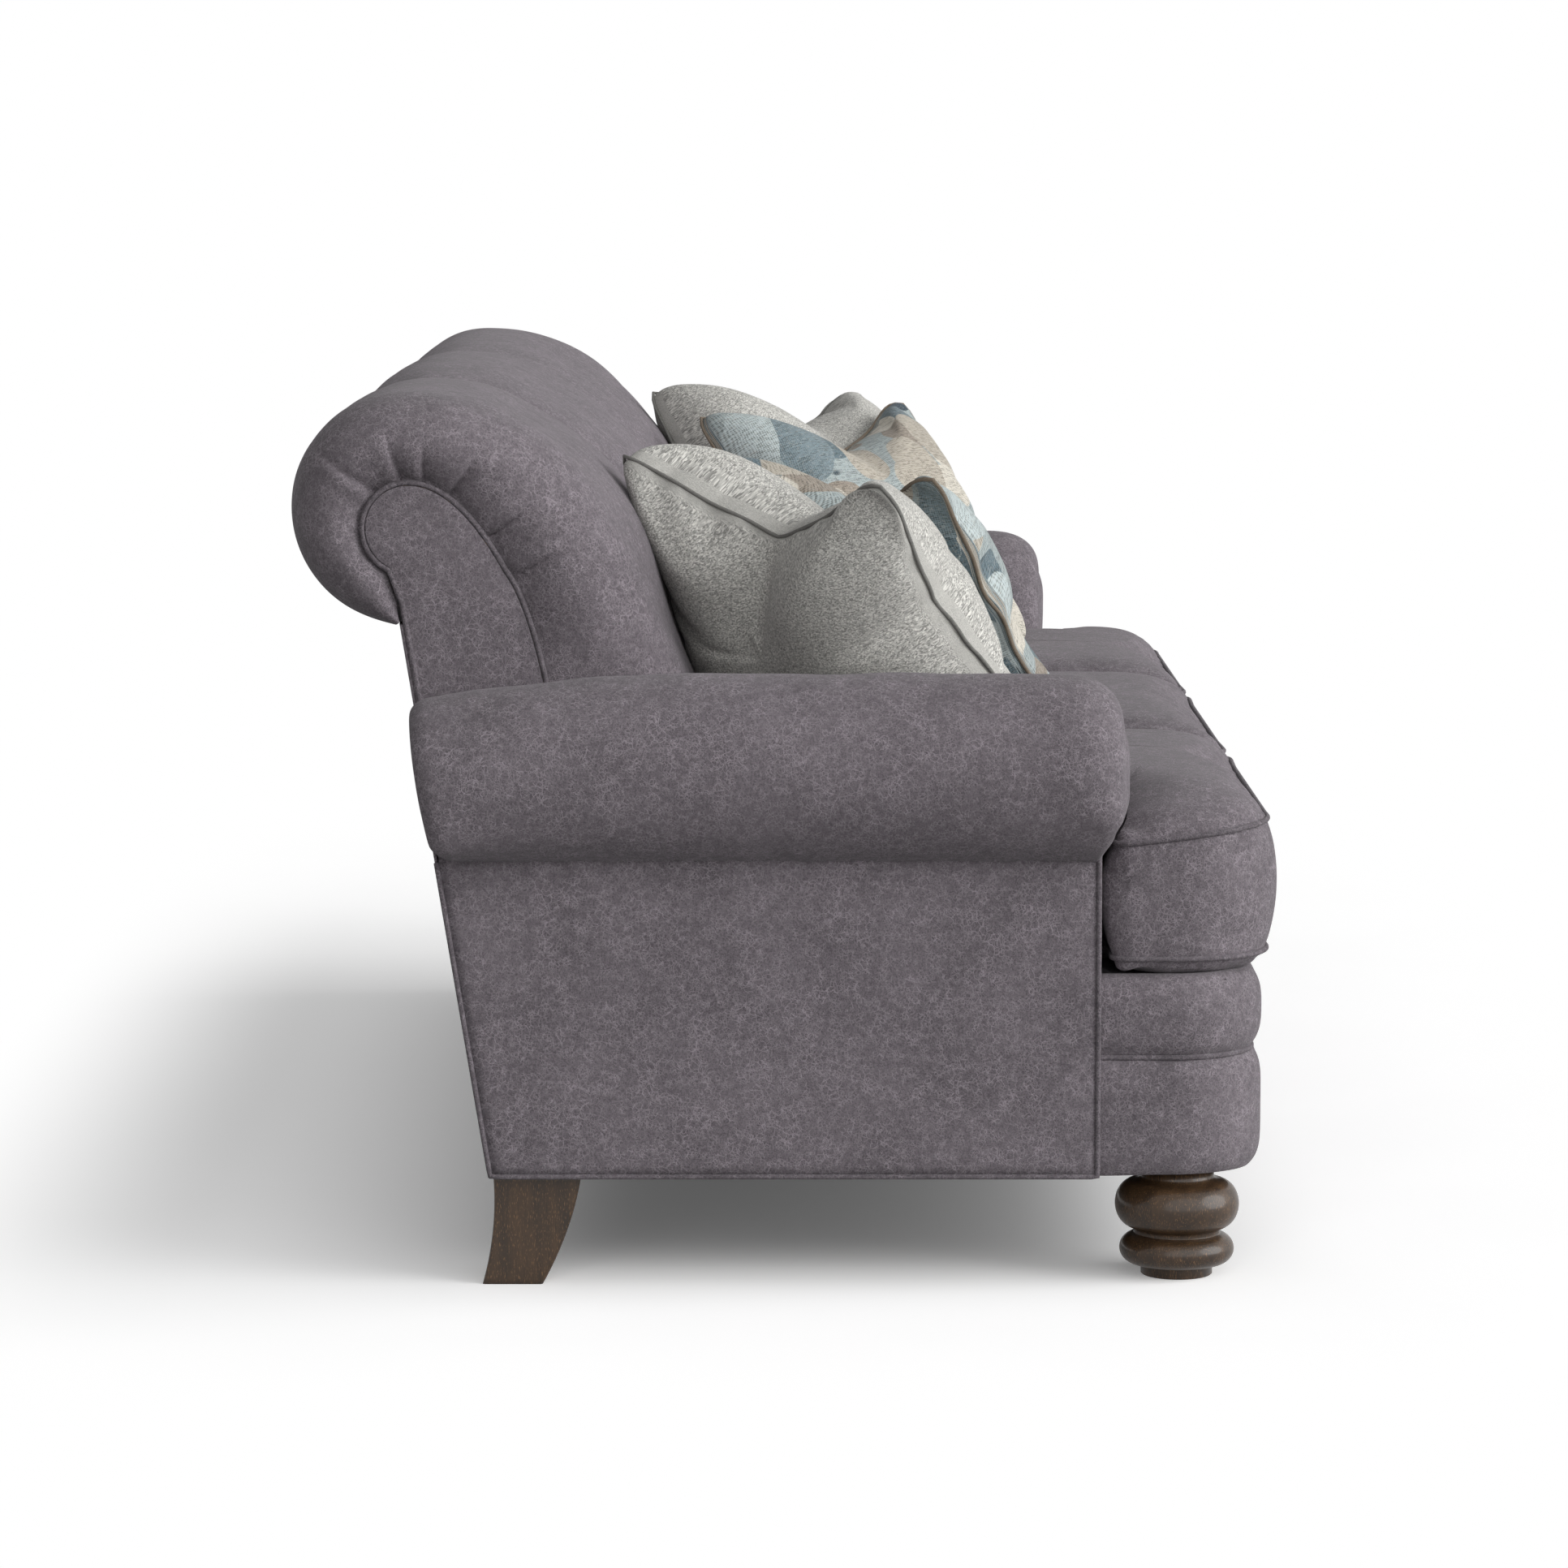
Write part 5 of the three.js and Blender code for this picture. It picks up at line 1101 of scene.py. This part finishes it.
class SofaCloth(bpy.types.PropertyGroup):
    cover_colour: bpy.props.FloatVectorProperty(
        name="Cover colour", description="Linear colour of the brushed cover cloth", subtype="COLOR",
        default=linear((0.422, 0.398, 0.417)), min=0, max=1)
    grey_colour: bpy.props.FloatVectorProperty(
        name="Grey pillow colour", description="Linear colour of the nubby grey cloth", subtype="COLOR",
        default=linear((0.71, 0.705, 0.685)), min=0, max=1)
    vein_density: bpy.props.FloatProperty(
        name="Vein density", description="Cells of the cover's pale veins in a metre", default=120, min=5, max=300)
    nub_size: bpy.props.FloatProperty(
        name="Nub size", description="Width of one nub of the grey cloth", default=0.0011, min=0.0005, max=0.02,
        unit="LENGTH", precision=4)
    pressure: bpy.props.FloatProperty(
        name="Stuffing pressure", description="Pressure that swells cushions and pillows", default=4, min=0, max=20)
    pucker_depth: bpy.props.FloatProperty(
        name="Pucker depth", description="Depth of the small puckers beside seams", default=0.0011,
        min=0, max=0.01, unit="LENGTH", precision=4)


class SofaWood(bpy.types.PropertyGroup):
    stain_colour: bpy.props.FloatVectorProperty(
        name="Stain colour", description="Linear colour of the stained feet", subtype="COLOR",
        default=linear((0.205, 0.146, 0.090)), min=0, max=1)


class SofaStage(bpy.types.PropertyGroup):
    sky: bpy.props.FloatProperty(
        name="Sky light", description="Level of the light from all round", default=0.20, min=0)
    key: bpy.props.FloatProperty(
        name="Key light", description="Strength of the soft sun", default=2.62, min=0)
    side: bpy.props.FloatProperty(
        name="Side light", description="Strength of the low sun from the left", default=1.94, min=0)
    front: bpy.props.FloatProperty(
        name="Front light", description="Strength of the low sun in front", default=0.62, min=0)


class SOFA_OT_frame(bpy.types.Operator):
    """Gives the hidden frame, springs, deck and dust cover their finishes"""
    bl_idname = "sofa.frame"
    bl_label = "Dress frame"

    def execute(self, context):
        wood, steel = material("frame_wood", raw_wood), material("spring_steel", spring_wire)
        for name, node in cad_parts.items():
            hidden = name.startswith(("front_rail", "rear_rail", "seat_stretcher", "front_corner_block", "arm_frame",
                                      "scroll_board", "back_upright", "back_top_rail"))
            if hidden or name.startswith("seat_spring"):
                node.data.materials.clear()
                node.data.materials.append(wood if hidden else steel)
        self.lay_deck()
        self.lay_dust_cover()
        return {"FINISHED"}

    def lay_deck(self):
        """The deck's cloth, which dips a little between the springs."""
        low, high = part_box("seat_deck")
        count = 90
        rows = []
        corner = BORDER_CORNER - BORDER_BACK
        for share in np.linspace(0, 1, 46):
            y = lerp(low.y, high.y, share)
            front = y < ARM_FRONT + DEPTH_SHIFT - GAP
            turn = corner - min(corner, max(0, y - low.y))
            half = high.x - corner + math.sqrt(corner ** 2 - turn ** 2) if front else ARM_INNER_X - GAP
            x = np.linspace(-half, half, count)
            top = DECK_HEIGHT - 0.0015 * (1 - np.cos(x * 2 * math.pi / 0.282)) / 2
            rows.append(np.vstack([np.column_stack([x, np.full(count, y), top]),
                                   np.column_stack([x[::-1], np.full(count, y), np.full(count, low.z)])]))
        deck = shell("seat_deck_cloth", strip_caps(rows))
        settle(deck, material("deck_cloth", plain_cloth, DECK_COLOUR), "frame", "seat_deck")

    def lay_dust_cover(self):
        """The black cloth under the frame, which hangs down a little."""
        low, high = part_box("dust_cover")
        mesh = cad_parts["dust_cover"].data.copy()
        mesh.name = "dust_cover_cloth"
        cloth = finish_mesh("dust_cover_cloth", mesh)
        shape = bmesh.new()
        shape.from_mesh(cloth.data)
        for _ in range(3):
            bmesh.ops.triangulate(shape, faces=shape.faces)
            bmesh.ops.subdivide_edges(shape, edges=[e for e in shape.edges if e.calc_length() > 0.12], cuts=1)
        shape.to_mesh(cloth.data)
        shape.free()
        points = points_of(cloth)
        inside = smooth(high.x - np.abs(points[:, 0]), 0, 0.2) * smooth(high.y - points[:, 1], 0, 0.15)
        inside *= smooth(points[:, 1] - low.y, 0, 0.15)
        points[:, 2] -= 0.004 * inside * (1 + 0.4 * waver(points[:, 0], (0.21, 0.33), 3))
        set_points(cloth, points)
        cloth.data.polygons.foreach_set("use_smooth", [False] * len(cloth.data.polygons))
        settle(cloth, material("dust_cloth", plain_cloth, DUST_COLOUR), "frame", "dust_cover")


class SOFA_OT_feet(bpy.types.Operator):
    """Turns the front feet and shapes the sabre rear legs"""
    bl_idname = "sofa.feet"
    bl_label = "Turn feet"

    def execute(self, context):
        wood = material("turned_wood", dark_wood)
        for name, side in SIDES:
            low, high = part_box(f"front_foot_{name}")
            middle = (low + high) / 2
            foot = self.turn_foot(f"front_foot_{name}_turned", middle.x, middle.y)
            settle(foot, wood, "frame", f"front_foot_{name}")
            leg = self.shape_leg(f"rear_leg_{name}_shaped", side)
            settle(leg, wood, "frame", f"rear_leg_{name}")
        return {"FINISHED"}

    def turn_foot(self, name, x, y):
        """A turned foot from a profile of radius and height: pad, ring, cove, ring and neck."""
        swing = np.linspace(-1.5, 1.5, 26)
        lower, upper = ([(inset + reach * math.cos(a), middle + half * math.sin(a)) for a in swing]
                        for inset, reach, middle, half in FOOT_RINGS)
        profile = [(0, 0), (0.0375, 0), (0.0388, 0.0012), (0.0388, 0.0100), (0.0400, 0.0117), *lower,
                   (0.0460, 0.0462), (0.0462, 0.0480), (0.0466, 0.0500), (0.0474, 0.0514), *upper,
                   (0.0440, 0.1045), (0.0412, 0.1062), (0.0400, 0.1085), (0.0400, UNDERSIDE), (0, UNDERSIDE)]
        angle = np.linspace(0, 2 * math.pi, 96, endpoint=False)
        return shell(name, [np.column_stack([x + radius * np.cos(angle), y + radius * np.sin(angle),
                                             np.full(96, height)]) for radius, height in profile])

    def shape_leg(self, name, side):
        """A leg cut to a sabre curve from a board, with its edges eased."""
        rear = curve_through([(0.309, UNDERSIDE), (0.3045, UNDERSIDE / 2), (0.321, 0)], 24)
        front = curve_through([(0.2145, UNDERSIDE), (0.2235, UNDERSIDE / 2), (0.256, 0)], 24)
        left, right = LEG_INNER_X + LEG_EASE, LEG_OUTER_X - LEG_EASE
        rows = []
        for (y0, z), (y1, _) in zip(front, rear):
            y0, y1 = y0 + LEG_EASE, y1 - LEG_EASE
            ring = []
            for x, y, start in ((right, y1, 0), (left, y1, 0.5), (left, y0, 1.0), (right, y0, 1.5)):
                angles = np.linspace(start, start + 0.5, 6) * math.pi
                ring += [(side * (x + LEG_EASE * math.cos(a)), y + LEG_EASE * math.sin(a), z) for a in angles]
            rows.append(np.array(ring))
        return shell(name, place_depth(closed_ends(rows)))


class SOFA_OT_border(bpy.types.Operator):
    """Stuffs the two bands of the front border and sews the welt between them"""
    bl_idname = "sofa.border"
    bl_label = "Stuff border"

    def path(self):
        """The border's line on the floor plan, from one arm round the front to the other."""
        rear, inside = ARM_FRONT + BORDER_TUCK, BORDER_HALF_WIDTH - BORDER_CORNER
        turn = BORDER_FACE + BORDER_CORNER
        quarter = np.linspace(0, math.pi / 2, 20)
        corner = np.column_stack([inside + BORDER_CORNER * np.cos(quarter), turn - BORDER_CORNER * np.sin(quarter)])
        end = np.array([(BORDER_HALF_WIDTH, lerp(rear, turn, share)) for share in (0, 0.006, 0.04, 0.35, 0.7)])
        straight = np.column_stack([np.linspace(-inside, inside, 100)[1:-1], np.full(98, BORDER_FACE)])
        return np.vstack([end * (-1, 1), corner * (-1, 1), straight, corner[::-1], end[::-1]])

    def section(self):
        """Both bands' faces from the foot up, the roll at their top edge, and the back."""
        line = []
        for low, high, power in ((UNDERSIDE, BORDER_WELT_HEIGHT - 0.0006, 6),
                                 (BORDER_WELT_HEIGHT + 0.0006, DECK_HEIGHT, 3.2)):
            for share in (1 - np.cos(np.linspace(0, math.pi, 21))) / 2:
                line.append((BORDER_BULGE * (1 - np.abs(2 * share - 1) ** power), lerp(low, high, share)))
        line += [(-s, DECK_HEIGHT + 0.0034 * math.sin(math.pi * min(1, s / 0.022)))
                 for s in (0.003, 0.007, 0.011, 0.015, 0.019, 0.024)]
        line += [(-BORDER_BACK, DECK_HEIGHT), (-BORDER_BACK, UNDERSIDE), (-0.006, UNDERSIDE), (-0.0008, UNDERSIDE)]
        return np.array(line)

    def execute(self, context):
        path = self.path()
        along = np.gradient(path, axis=0)
        out = np.column_stack([along[:, 1], -along[:, 0]])
        out /= np.linalg.norm(out, axis=1, keepdims=True)
        swell, height = self.section().T
        rows = [np.column_stack([p[0] + o[0] * swell, p[1] + o[1] * swell, height]) for p, o in zip(path, out)]
        band = shell("front_border_bands", place_depth(closed_ends(rows)))
        points = points_of(band)
        face = (points[:, 1] < BORDER_FACE + DEPTH_SHIFT + 0.12)
        slack = face * 0.0013 * waver(points[:, 0], (0.23, 0.37, 0.115), 11)
        press(band, slack * smooth(DECK_HEIGHT - points[:, 2], 0.004, 0.02))
        soften(band)
        settle(band, cover(), "frame", "front_border")
        line = np.column_stack([path + out * 0.0015, np.full(len(path), BORDER_WELT_HEIGHT)])
        settle(tube("front_border_welt", place_depth(line), WELT), shaded_piping(), "frame", parent=band)
        self.sew_darts(band)
        return {"FINISHED"}

    def sew_darts(self, band):
        """The short seam that takes in the band's top edge at each corner."""
        for name, side in SIDES:
            drawn = curve_through([(0.978, -0.437, DECK_HEIGHT + 0.0004), (0.985, -0.462, DECK_HEIGHT + 0.0006),
                                   (1.003, -0.478, DECK_HEIGHT - 0.004)], 16)
            dart = tube(f"front_border_{name}_dart", place_depth(drawn * (side, 1, 1)), 0.0007, sides=6)
            settle(dart, shaded_piping(), "frame", parent=band)


class SOFA_OT_arms(bpy.types.Operator):
    """Pads the domed roll arms and sews their outside panels"""
    bl_idname = "sofa.arms"
    bl_label = "Pad arms"

    def execute(self, context):
        for name, side in SIDES:
            arm = shell(f"arm_{name}_padding", place_depth(arm_rows(side)))
            relax_face(arm, 21 + side, 0.0016)
            press(arm, arm_tucks(points_of(arm)))
            soften(arm)
            settle(arm, cover(), "frame", f"arm_cover_{name}")
            self.sew_panel(name, side)
        return {"FINISHED"}

    def sew_panel(self, name, side):
        """The flat cloth under the roll, and the welt round three of its sides."""
        margin = 2 * WELT
        bottom, top = UNDERSIDE + margin, ROLL_UNDERSIDE + 0.004
        rows = []
        for share in np.linspace(0, 1, 40):
            z = lerp(bottom, top, share)
            y = np.linspace(ARM_FRONT + margin, rear_at(z) - margin, 70)
            edge = np.minimum(smooth(np.minimum(y - y[0], y[-1] - y), 0, 0.02), smooth(z - bottom, 0, 0.02))
            gathers = 0.0012 * waver(y, (0.034, 0.052, 0.081), 17) * smooth(z, top - 0.10, top)
            slack = 0.0012 * waver(y + 0.5 * z, (0.31, 0.43), 19) * waver(z, (0.27, 0.19), 23)
            x = ARM_OUTER_X - 0.0005 + edge * (0.0016 + gathers + slack)
            front = np.column_stack([side * x, y, np.full(70, z)])
            back = np.column_stack([np.full(70, side * (ARM_OUTER_X - 0.004)), y, np.full(70, z)])[::-1]
            rows.append(np.vstack([front, back]))
        panel = shell(f"outside_arm_{name}_cloth", place_depth(strip_caps(rows)))
        settle(panel, cover(), "frame", f"outside_arm_{name}")
        rear_at((bottom + top) / 2) - ARM_FRONT - 2 * margin
        start, end = (ARM_FRONT + WELT, top), (rear_at(ROLL_UNDERSIDE) - WELT, ROLL_UNDERSIDE)
        near, far = (ARM_FRONT + WELT, UNDERSIDE + WELT), (rear_at(UNDERSIDE + WELT) - WELT, UNDERSIDE + WELT)
        drop, hem, rise = evenly([start, near], 40), evenly([near, far], 60), evenly([far, end], 40)
        run = evenly(np.vstack([drop, hem[1:], rise[1:]]), 200)
        path = place_depth(np.column_stack([np.full(len(run), side * (ARM_OUTER_X - 0.0006)), run]))
        welt = tube(f"arm_welt_{name}_cord", path, WELT)
        settle(welt, shaded_piping(), "frame", f"arm_welt_{name}")


class SOFA_OT_back(bpy.types.Operator):
    """Pads the three sections of the scroll back and covers its ends and rear"""
    bl_idname = "sofa.back"
    bl_label = "Pad back"

    def execute(self, context):
        middle = shell("back_middle_padding", place_depth(strip_caps(middle_section_rows())))
        relax_face(middle, 31, 0.0022)
        self.finish_section(middle, "back_pad_middle")
        for name, side in SIDES:
            section = shell(f"back_{name}_padding", place_depth(strip_caps(end_section_rows(side))))
            relax_face(section, 33 + side, 0.0022)
            press(section, gather_depth(points_of(section), SCROLL_BOARD_X))
            self.finish_section(section, f"back_pad_{name}")
            self.cover_scroll(name, side)
        self.cover_rear()
        return {"FINISHED"}

    def finish_section(self, section, node):
        settle(section, cover(), "frame", node)

    def cover_scroll(self, name, side):
        """The flat facing at a scroll's end, and the welt round it."""
        edge = scroll_profile(0, SCROLL_FACING_BOTTOM)
        rear = [(rear_at(z) - REAR_CLOTH_ROOM, z) for z in (edge[-1, 1] - 0.023, SCROLL_FACING_BOTTOM)]
        outline = evenly(np.vstack([edge, rear]), 240)
        front, back = outline[:120], outline[120:][::-1]
        across = (1 - np.cos(np.linspace(0, math.pi, 16))) / 2
        rows = []
        for a, b in zip(front, back):
            places = lerp(a, b, across[:, None])
            puff = 0.0016 * np.minimum(1, np.sin(across * math.pi) * 2.2) * min(1, np.linalg.norm(a - b) / 0.05)
            outer = np.column_stack([side * (SCROLL_FACE_X - 0.0006 + puff), places])
            inner = np.column_stack([np.full(16, side * (SCROLL_FACE_X - 0.005)), places])[::-1]
            rows.append(np.vstack([outer, inner]))
        facing = shell(f"scroll_facing_{name}_cloth", place_depth(strip_caps(rows)))
        settle(facing, cover(), "frame", f"scroll_facing_{name}")
        line = scroll_profile(WELT + 0.0004, 0.640)
        turn = line[-1, 1] - 0.035
        down = evenly([line[-1], (rear_at(turn) - 0.0075, turn), (rear_at(0.62) - 0.0085, 0.62)], 40)
        run = evenly(np.vstack([line, down[1:]]), 220)
        at_rear = smooth(line[-1, 1] + 0.01 - run[:, 1], 0, 0.03) * (run[:, 0] > 0.36)
        x = SCROLL_FACE_X - 0.0022 + 0.0022 * at_rear
        path = np.column_stack([side * x, run])
        welt = tube(f"scroll_welt_{name}_cord", place_depth(path), WELT)
        settle(welt, shaded_piping(), "frame", f"scroll_welt_{name}")

    def cover_rear(self):
        """The flat cloth over the rear, wide behind the arms and narrower above them."""
        wide, shoulder, top = ARM_COVER_OUTER_X - GAP, OUTSIDE_BACK_SHOULDER, OUTSIDE_BACK_TOP
        low, high = np.linspace(UNDERSIDE, shoulder, 30), np.linspace(shoulder + 0.004, top, 8)
        rows = []
        for z in np.concatenate([low, [shoulder + 1e-4], high]):
            half = wide if z <= shoulder else SCROLL_FACE_X
            x = np.linspace(-half, half, 120)
            edge = smooth(half - np.abs(x), 0, 0.02) * smooth(z - UNDERSIDE, 0, 0.02)
            slack = waver(x + 0.3 * z, (0.41, 0.63), 41) * waver(z, (0.29, 0.45), 43)
            out = rear_at(z) - 0.001 + edge * (0.0018 + 0.0014 * slack)
            rows.append(np.vstack([np.column_stack([x, out, np.full(120, z)]),
                                   np.column_stack([x[::-1], np.full(120, rear_at(z) - 0.004), np.full(120, z)])]))
        panel = shell("outside_back_cloth", place_depth(strip_caps(rows)))
        settle(panel, cover(), "frame", "outside_back")


class SOFA_OT_seat_cushions(bpy.types.Operator):
    """Stuffs the three boxed seat cushions and sews their welts"""
    bl_idname = "sofa.seat_cushions"
    bl_label = "Stuff seat cushions"

    def execute(self, context):
        cloth = context.scene.sofa_cloth
        for name, side in (("left", -1), ("middle", 0), ("right", 1)):
            node = f"seat_cushion_{name}"
            rows, held, seams = seat_form(side)
            rows = place_depth(rows)
            cushion = shell(f"{node}_cover", rows)
            sewn = {tuple(np.round(p, 5)) for p in rows[held].reshape(-1, 3)}
            fixed = np.array([tuple(np.round(p, 5)) in sewn for p in points_of(cushion)])
            stuff(cushion, fixed, cloth.pressure, CUSHION_MOVE, CUSHION_GROWTH)
            self.keep_inside(cushion, *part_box(node))
            pucker(cushion, [place_depth(s) for s in seams], cloth.pucker_depth, 0.030, 51 + side)
            soften(cushion)
            settle(cushion, cover(), node, node)
            for seam, label in zip(seams, ("lower", "upper")):
                welt = tube(f"{node}_{label}_welt", place_depth(seam), WELT, closed=True)
                settle(welt, shaded_piping(), None, parent=cushion)
        return {"FINISHED"}

    def keep_inside(self, cushion, low, high):
        """Holds a stuffed cushion off its neighbours, the deck and the back."""
        points = points_of(cushion)
        points[:, 0] = np.clip(points[:, 0], low.x + 0.0004, high.x - 0.0004)
        points[:, 1] = np.minimum(points[:, 1], high.y)
        points[:, 2] = np.maximum(points[:, 2], low.z + 0.0004)
        set_points(cushion, points)


class SOFA_OT_pillows(bpy.types.Operator):
    """Stuffs the four chopped throw pillows and sews their welts"""
    bl_idname = "sofa.pillows"
    bl_label = "Stuff pillows"

    def execute(self, context):
        cloths = {"grey": (material("nubby_cloth", nubby_cloth),
                           material("nubby_welt", plain_cloth, GREY_WELT_COLOUR, WELT_THREAD)),
                  "print": (material("printed_cloth", printed_cloth),
                            material("tan_welt", plain_cloth, TAN_WELT_COLOUR, WELT_THREAD))}
        for name, side in SIDES:
            for kind, made in PILLOWS.items():
                chop, front = (middle + change * side for middle, change in (made["chop"], made["front"]))
                form = pillow_form(made["seed"] + side, side, chop, made["spread"], front, made["back"])
                stand = (side, made["lean"], made["tip"])
                self.stuff_pillow(f"pillow_{kind}_{name}", form, stand, *cloths[kind], f"{kind}_fabric")
        return {"FINISHED"}

    def stuff_pillow(self, node, form, stand, cloth, edge, slot):
        """Stuffs a pillow, and stands it so that an even pillow would fill its solid's box."""
        rows, plan, seam = form
        pillow = shell(f"{node}_cover", rows, plan=plan)
        sewn = np.linalg.norm(points_of(pillow)[:, None] - seam, axis=2).min(1) < 1e-4
        stuff(pillow, sewn, PILLOW_PRESSURE, PILLOW_MOVE, PILLOW_GROWTH)
        distance = np.linalg.norm(points_of(pillow)[:, None] - seam, axis=2)
        along = distance.argmin(1) * PILLOW_SEAM_STEP
        near = np.exp(-(distance.min(1) / 0.032) ** 2)
        press(pillow, 0.0022 * near * waver(along, (0.027, 0.041, 0.066), len(node)))
        turn = np.array(pillow_turn(*stand).to_3x3()).T
        low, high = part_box(node)
        corners = [(x * PILLOW_WIDTH / 2 * 0.965, 0, z * PILLOW_HEIGHT / 2 * 0.965)
                   for x in (-1, 1) for z in (-1, 1)]
        even = np.array(corners + [(0, PILLOW_THICKNESS / 2, 0), (0, -PILLOW_THICKNESS / 2, 0)])
        shift = np.array((low + high) / 2) - centre_of(even @ turn)
        set_points(pillow, points_of(pillow) @ turn + shift)
        soften(pillow)
        settle(pillow, cloth, node, node)
        welt = tube(f"{node}_welt", (seam * (1.004, 1, 1.004)) @ turn + shift, PILLOW_WELT, closed=True)
        settle(welt, edge, None, parent=pillow)


class SOFA_OT_stage(bpy.types.Operator):
    """Lays the floor, sets the lights and stands the camera where the photograph was taken"""
    bl_idname = "sofa.stage"
    bl_label = "Set stage"

    def execute(self, context):
        scene = context.scene
        self.lay_floor(scene)
        self.light(scene)
        lens = bpy.data.cameras.new("Camera")
        lens.sensor_width = 36
        lens.lens = CAMERA_LENS
        lens.clip_end = 200
        camera = bpy.data.objects.new("Camera", lens)
        scene.collection.objects.link(camera)
        camera.location = place_depth(CAMERA_PLACE)
        camera.rotation_euler = (math.radians(90 - CAMERA_TILT), 0, math.radians(-90))
        scene.camera = camera
        scene.view_settings.view_transform = "Standard"
        return {"FINISHED"}

    def lay_floor(self, scene):
        """A pale floor that fades to white round the sofa. Near the sofa the floor glows with painted light; under
        the sofa it glows only a little, which paints shade there.
        """
        mesh = bpy.data.meshes.new("floor")
        mesh.from_pydata([(-60, -60, 0), (60, -60, 0), (60, 60, 0), (-60, 60, 0)], [], [(0, 1, 2, 3)])
        floor = bpy.data.objects.new("floor", mesh)
        scene.collection.objects.link(floor)
        finish = Finish("floor")
        place = finish.node("ShaderNodeTexCoord", output="Object")
        seen = finish.seen_directly()
        x, y = (finish.node("ShaderNodeSeparateXYZ", None, {0: place}, axis) for axis in ("X", "Y"))

        def within(right, left, rear, front):
            """1 on a patch of floor and 0 round it. Each side gives where it starts and ends to fade."""
            return ((1 - x.step(*right)) * (1 - (0 - x).step(*left))
                    * (1 - y.step(*rear)) * (1 - (0 - y).step(*front)))

        inside = within((1.6, 3.2), (1.15, 1.7), (0.66, 1.06), (0.7, 1.2))
        grain = finish.noise(place, 3, 2)
        pale = finish.mix(grain.step(0.3, 0.7), (0.965, 0.965, 0.965, 1), (0.98, 0.98, 0.98, 1))
        colour = finish.mix(seen, (0.35, 0.35, 0.35, 1), pale)
        # Painted light and shade: the floor glows near the sofa, and much less under it.
        under = within((0.75, 1.2), (0.75, 1.2), (0.15, 0.65), (0.25, 0.65))
        painted_floor_glow = finish.mix(seen, (0, 0, 0, 1), finish.mix(under, (0.30, 0.30, 0.30, 1), (0.06, 0.06, 0.06, 1)))
        lift = finish.node("ShaderNodeEmission", None, {"Color": painted_floor_glow, "Strength": 1.0})
        matt = finish.node("ShaderNodeBsdfDiffuse", None, {"Color": colour})
        rough = finish.node("ShaderNodeAddShader", None, {0: matt, 1: lift})
        glow = finish.node("ShaderNodeEmission", None, {"Color": (1, 1, 1, 1), "Strength": 1.0})
        shader = finish.node("ShaderNodeMixShader", None, {0: (1 - inside) * seen, 1: rough, 2: glow})
        finish.node("ShaderNodeOutputMaterial", None, {"Surface": shader})
        mesh.materials.append(finish.material)

    def light(self, scene):
        """Three soft suns and an even sky, with white seen behind the sofa."""
        stage = scene.sofa_stage
        suns = (("Key", stage.key, 50, (69, 0, -13)), ("Side", stage.side, 80, (78, 0, -76)),
                ("Front", stage.front, 80, (80, 0, -8)))
        for name, strength, angle, turn in suns:
            lamp = bpy.data.lights.new(name, "SUN")
            lamp.energy = strength
            lamp.angle = math.radians(angle)
            sun = bpy.data.objects.new(name, lamp)
            sun.rotation_euler = [math.radians(t) for t in turn]
            scene.collection.objects.link(sun)
        world = bpy.data.worlds.new("Studio")
        finish = Finish("Studio", world)
        lit = finish.node("ShaderNodeBackground", None, {"Color": (1, 1, 1, 1), "Strength": stage.sky})
        white = finish.node("ShaderNodeBackground", None, {"Color": (1, 1, 1, 1), "Strength": 1.0})
        both = finish.node("ShaderNodeMixShader", None, {0: finish.seen_directly(), 1: lit, 2: white})
        finish.node("ShaderNodeOutputWorld", None, {"Surface": both})
        scene.world = world


class SOFA_PT_panel(bpy.types.Panel):
    """Lists the sofa's settings and its steps"""
    bl_idname = "SOFA_PT_panel"
    bl_label = "Sofa"
    bl_space_type = "VIEW_3D"
    bl_region_type = "UI"
    bl_category = "Sofa"

    def draw(self, context):
        scene = context.scene
        for group in (scene.sofa_cloth, scene.sofa_wood, scene.sofa_stage):
            for name in group.__annotations__:
                self.layout.prop(group, name)
        for operator in OPERATORS:
            self.layout.operator(operator.bl_idname)


GROUPS = (("sofa_cloth", SofaCloth), ("sofa_wood", SofaWood), ("sofa_stage", SofaStage))
OPERATORS = (SOFA_OT_frame, SOFA_OT_feet, SOFA_OT_border, SOFA_OT_arms, SOFA_OT_back, SOFA_OT_seat_cushions,
             SOFA_OT_pillows, SOFA_OT_stage)


def register():
    for name, group in GROUPS:
        bpy.utils.register_class(group)
        setattr(bpy.types.Scene, name, bpy.props.PointerProperty(type=group))
    for cls in (*OPERATORS, SOFA_PT_panel):
        bpy.utils.register_class(cls)


def unregister():
    for cls in (*OPERATORS, SOFA_PT_panel):
        bpy.utils.unregister_class(cls)
    for name, group in GROUPS:
        delattr(bpy.types.Scene, name)
        bpy.utils.unregister_class(group)


def main():
    register()
    bpy.ops.sofa.frame()
    bpy.ops.sofa.feet()
    bpy.ops.sofa.border()
    bpy.ops.sofa.arms()
    bpy.ops.sofa.back()
    bpy.ops.sofa.seat_cushions()
    bpy.ops.sofa.pillows()
    bpy.ops.sofa.stage()


if __name__ == "__main__":
    main()
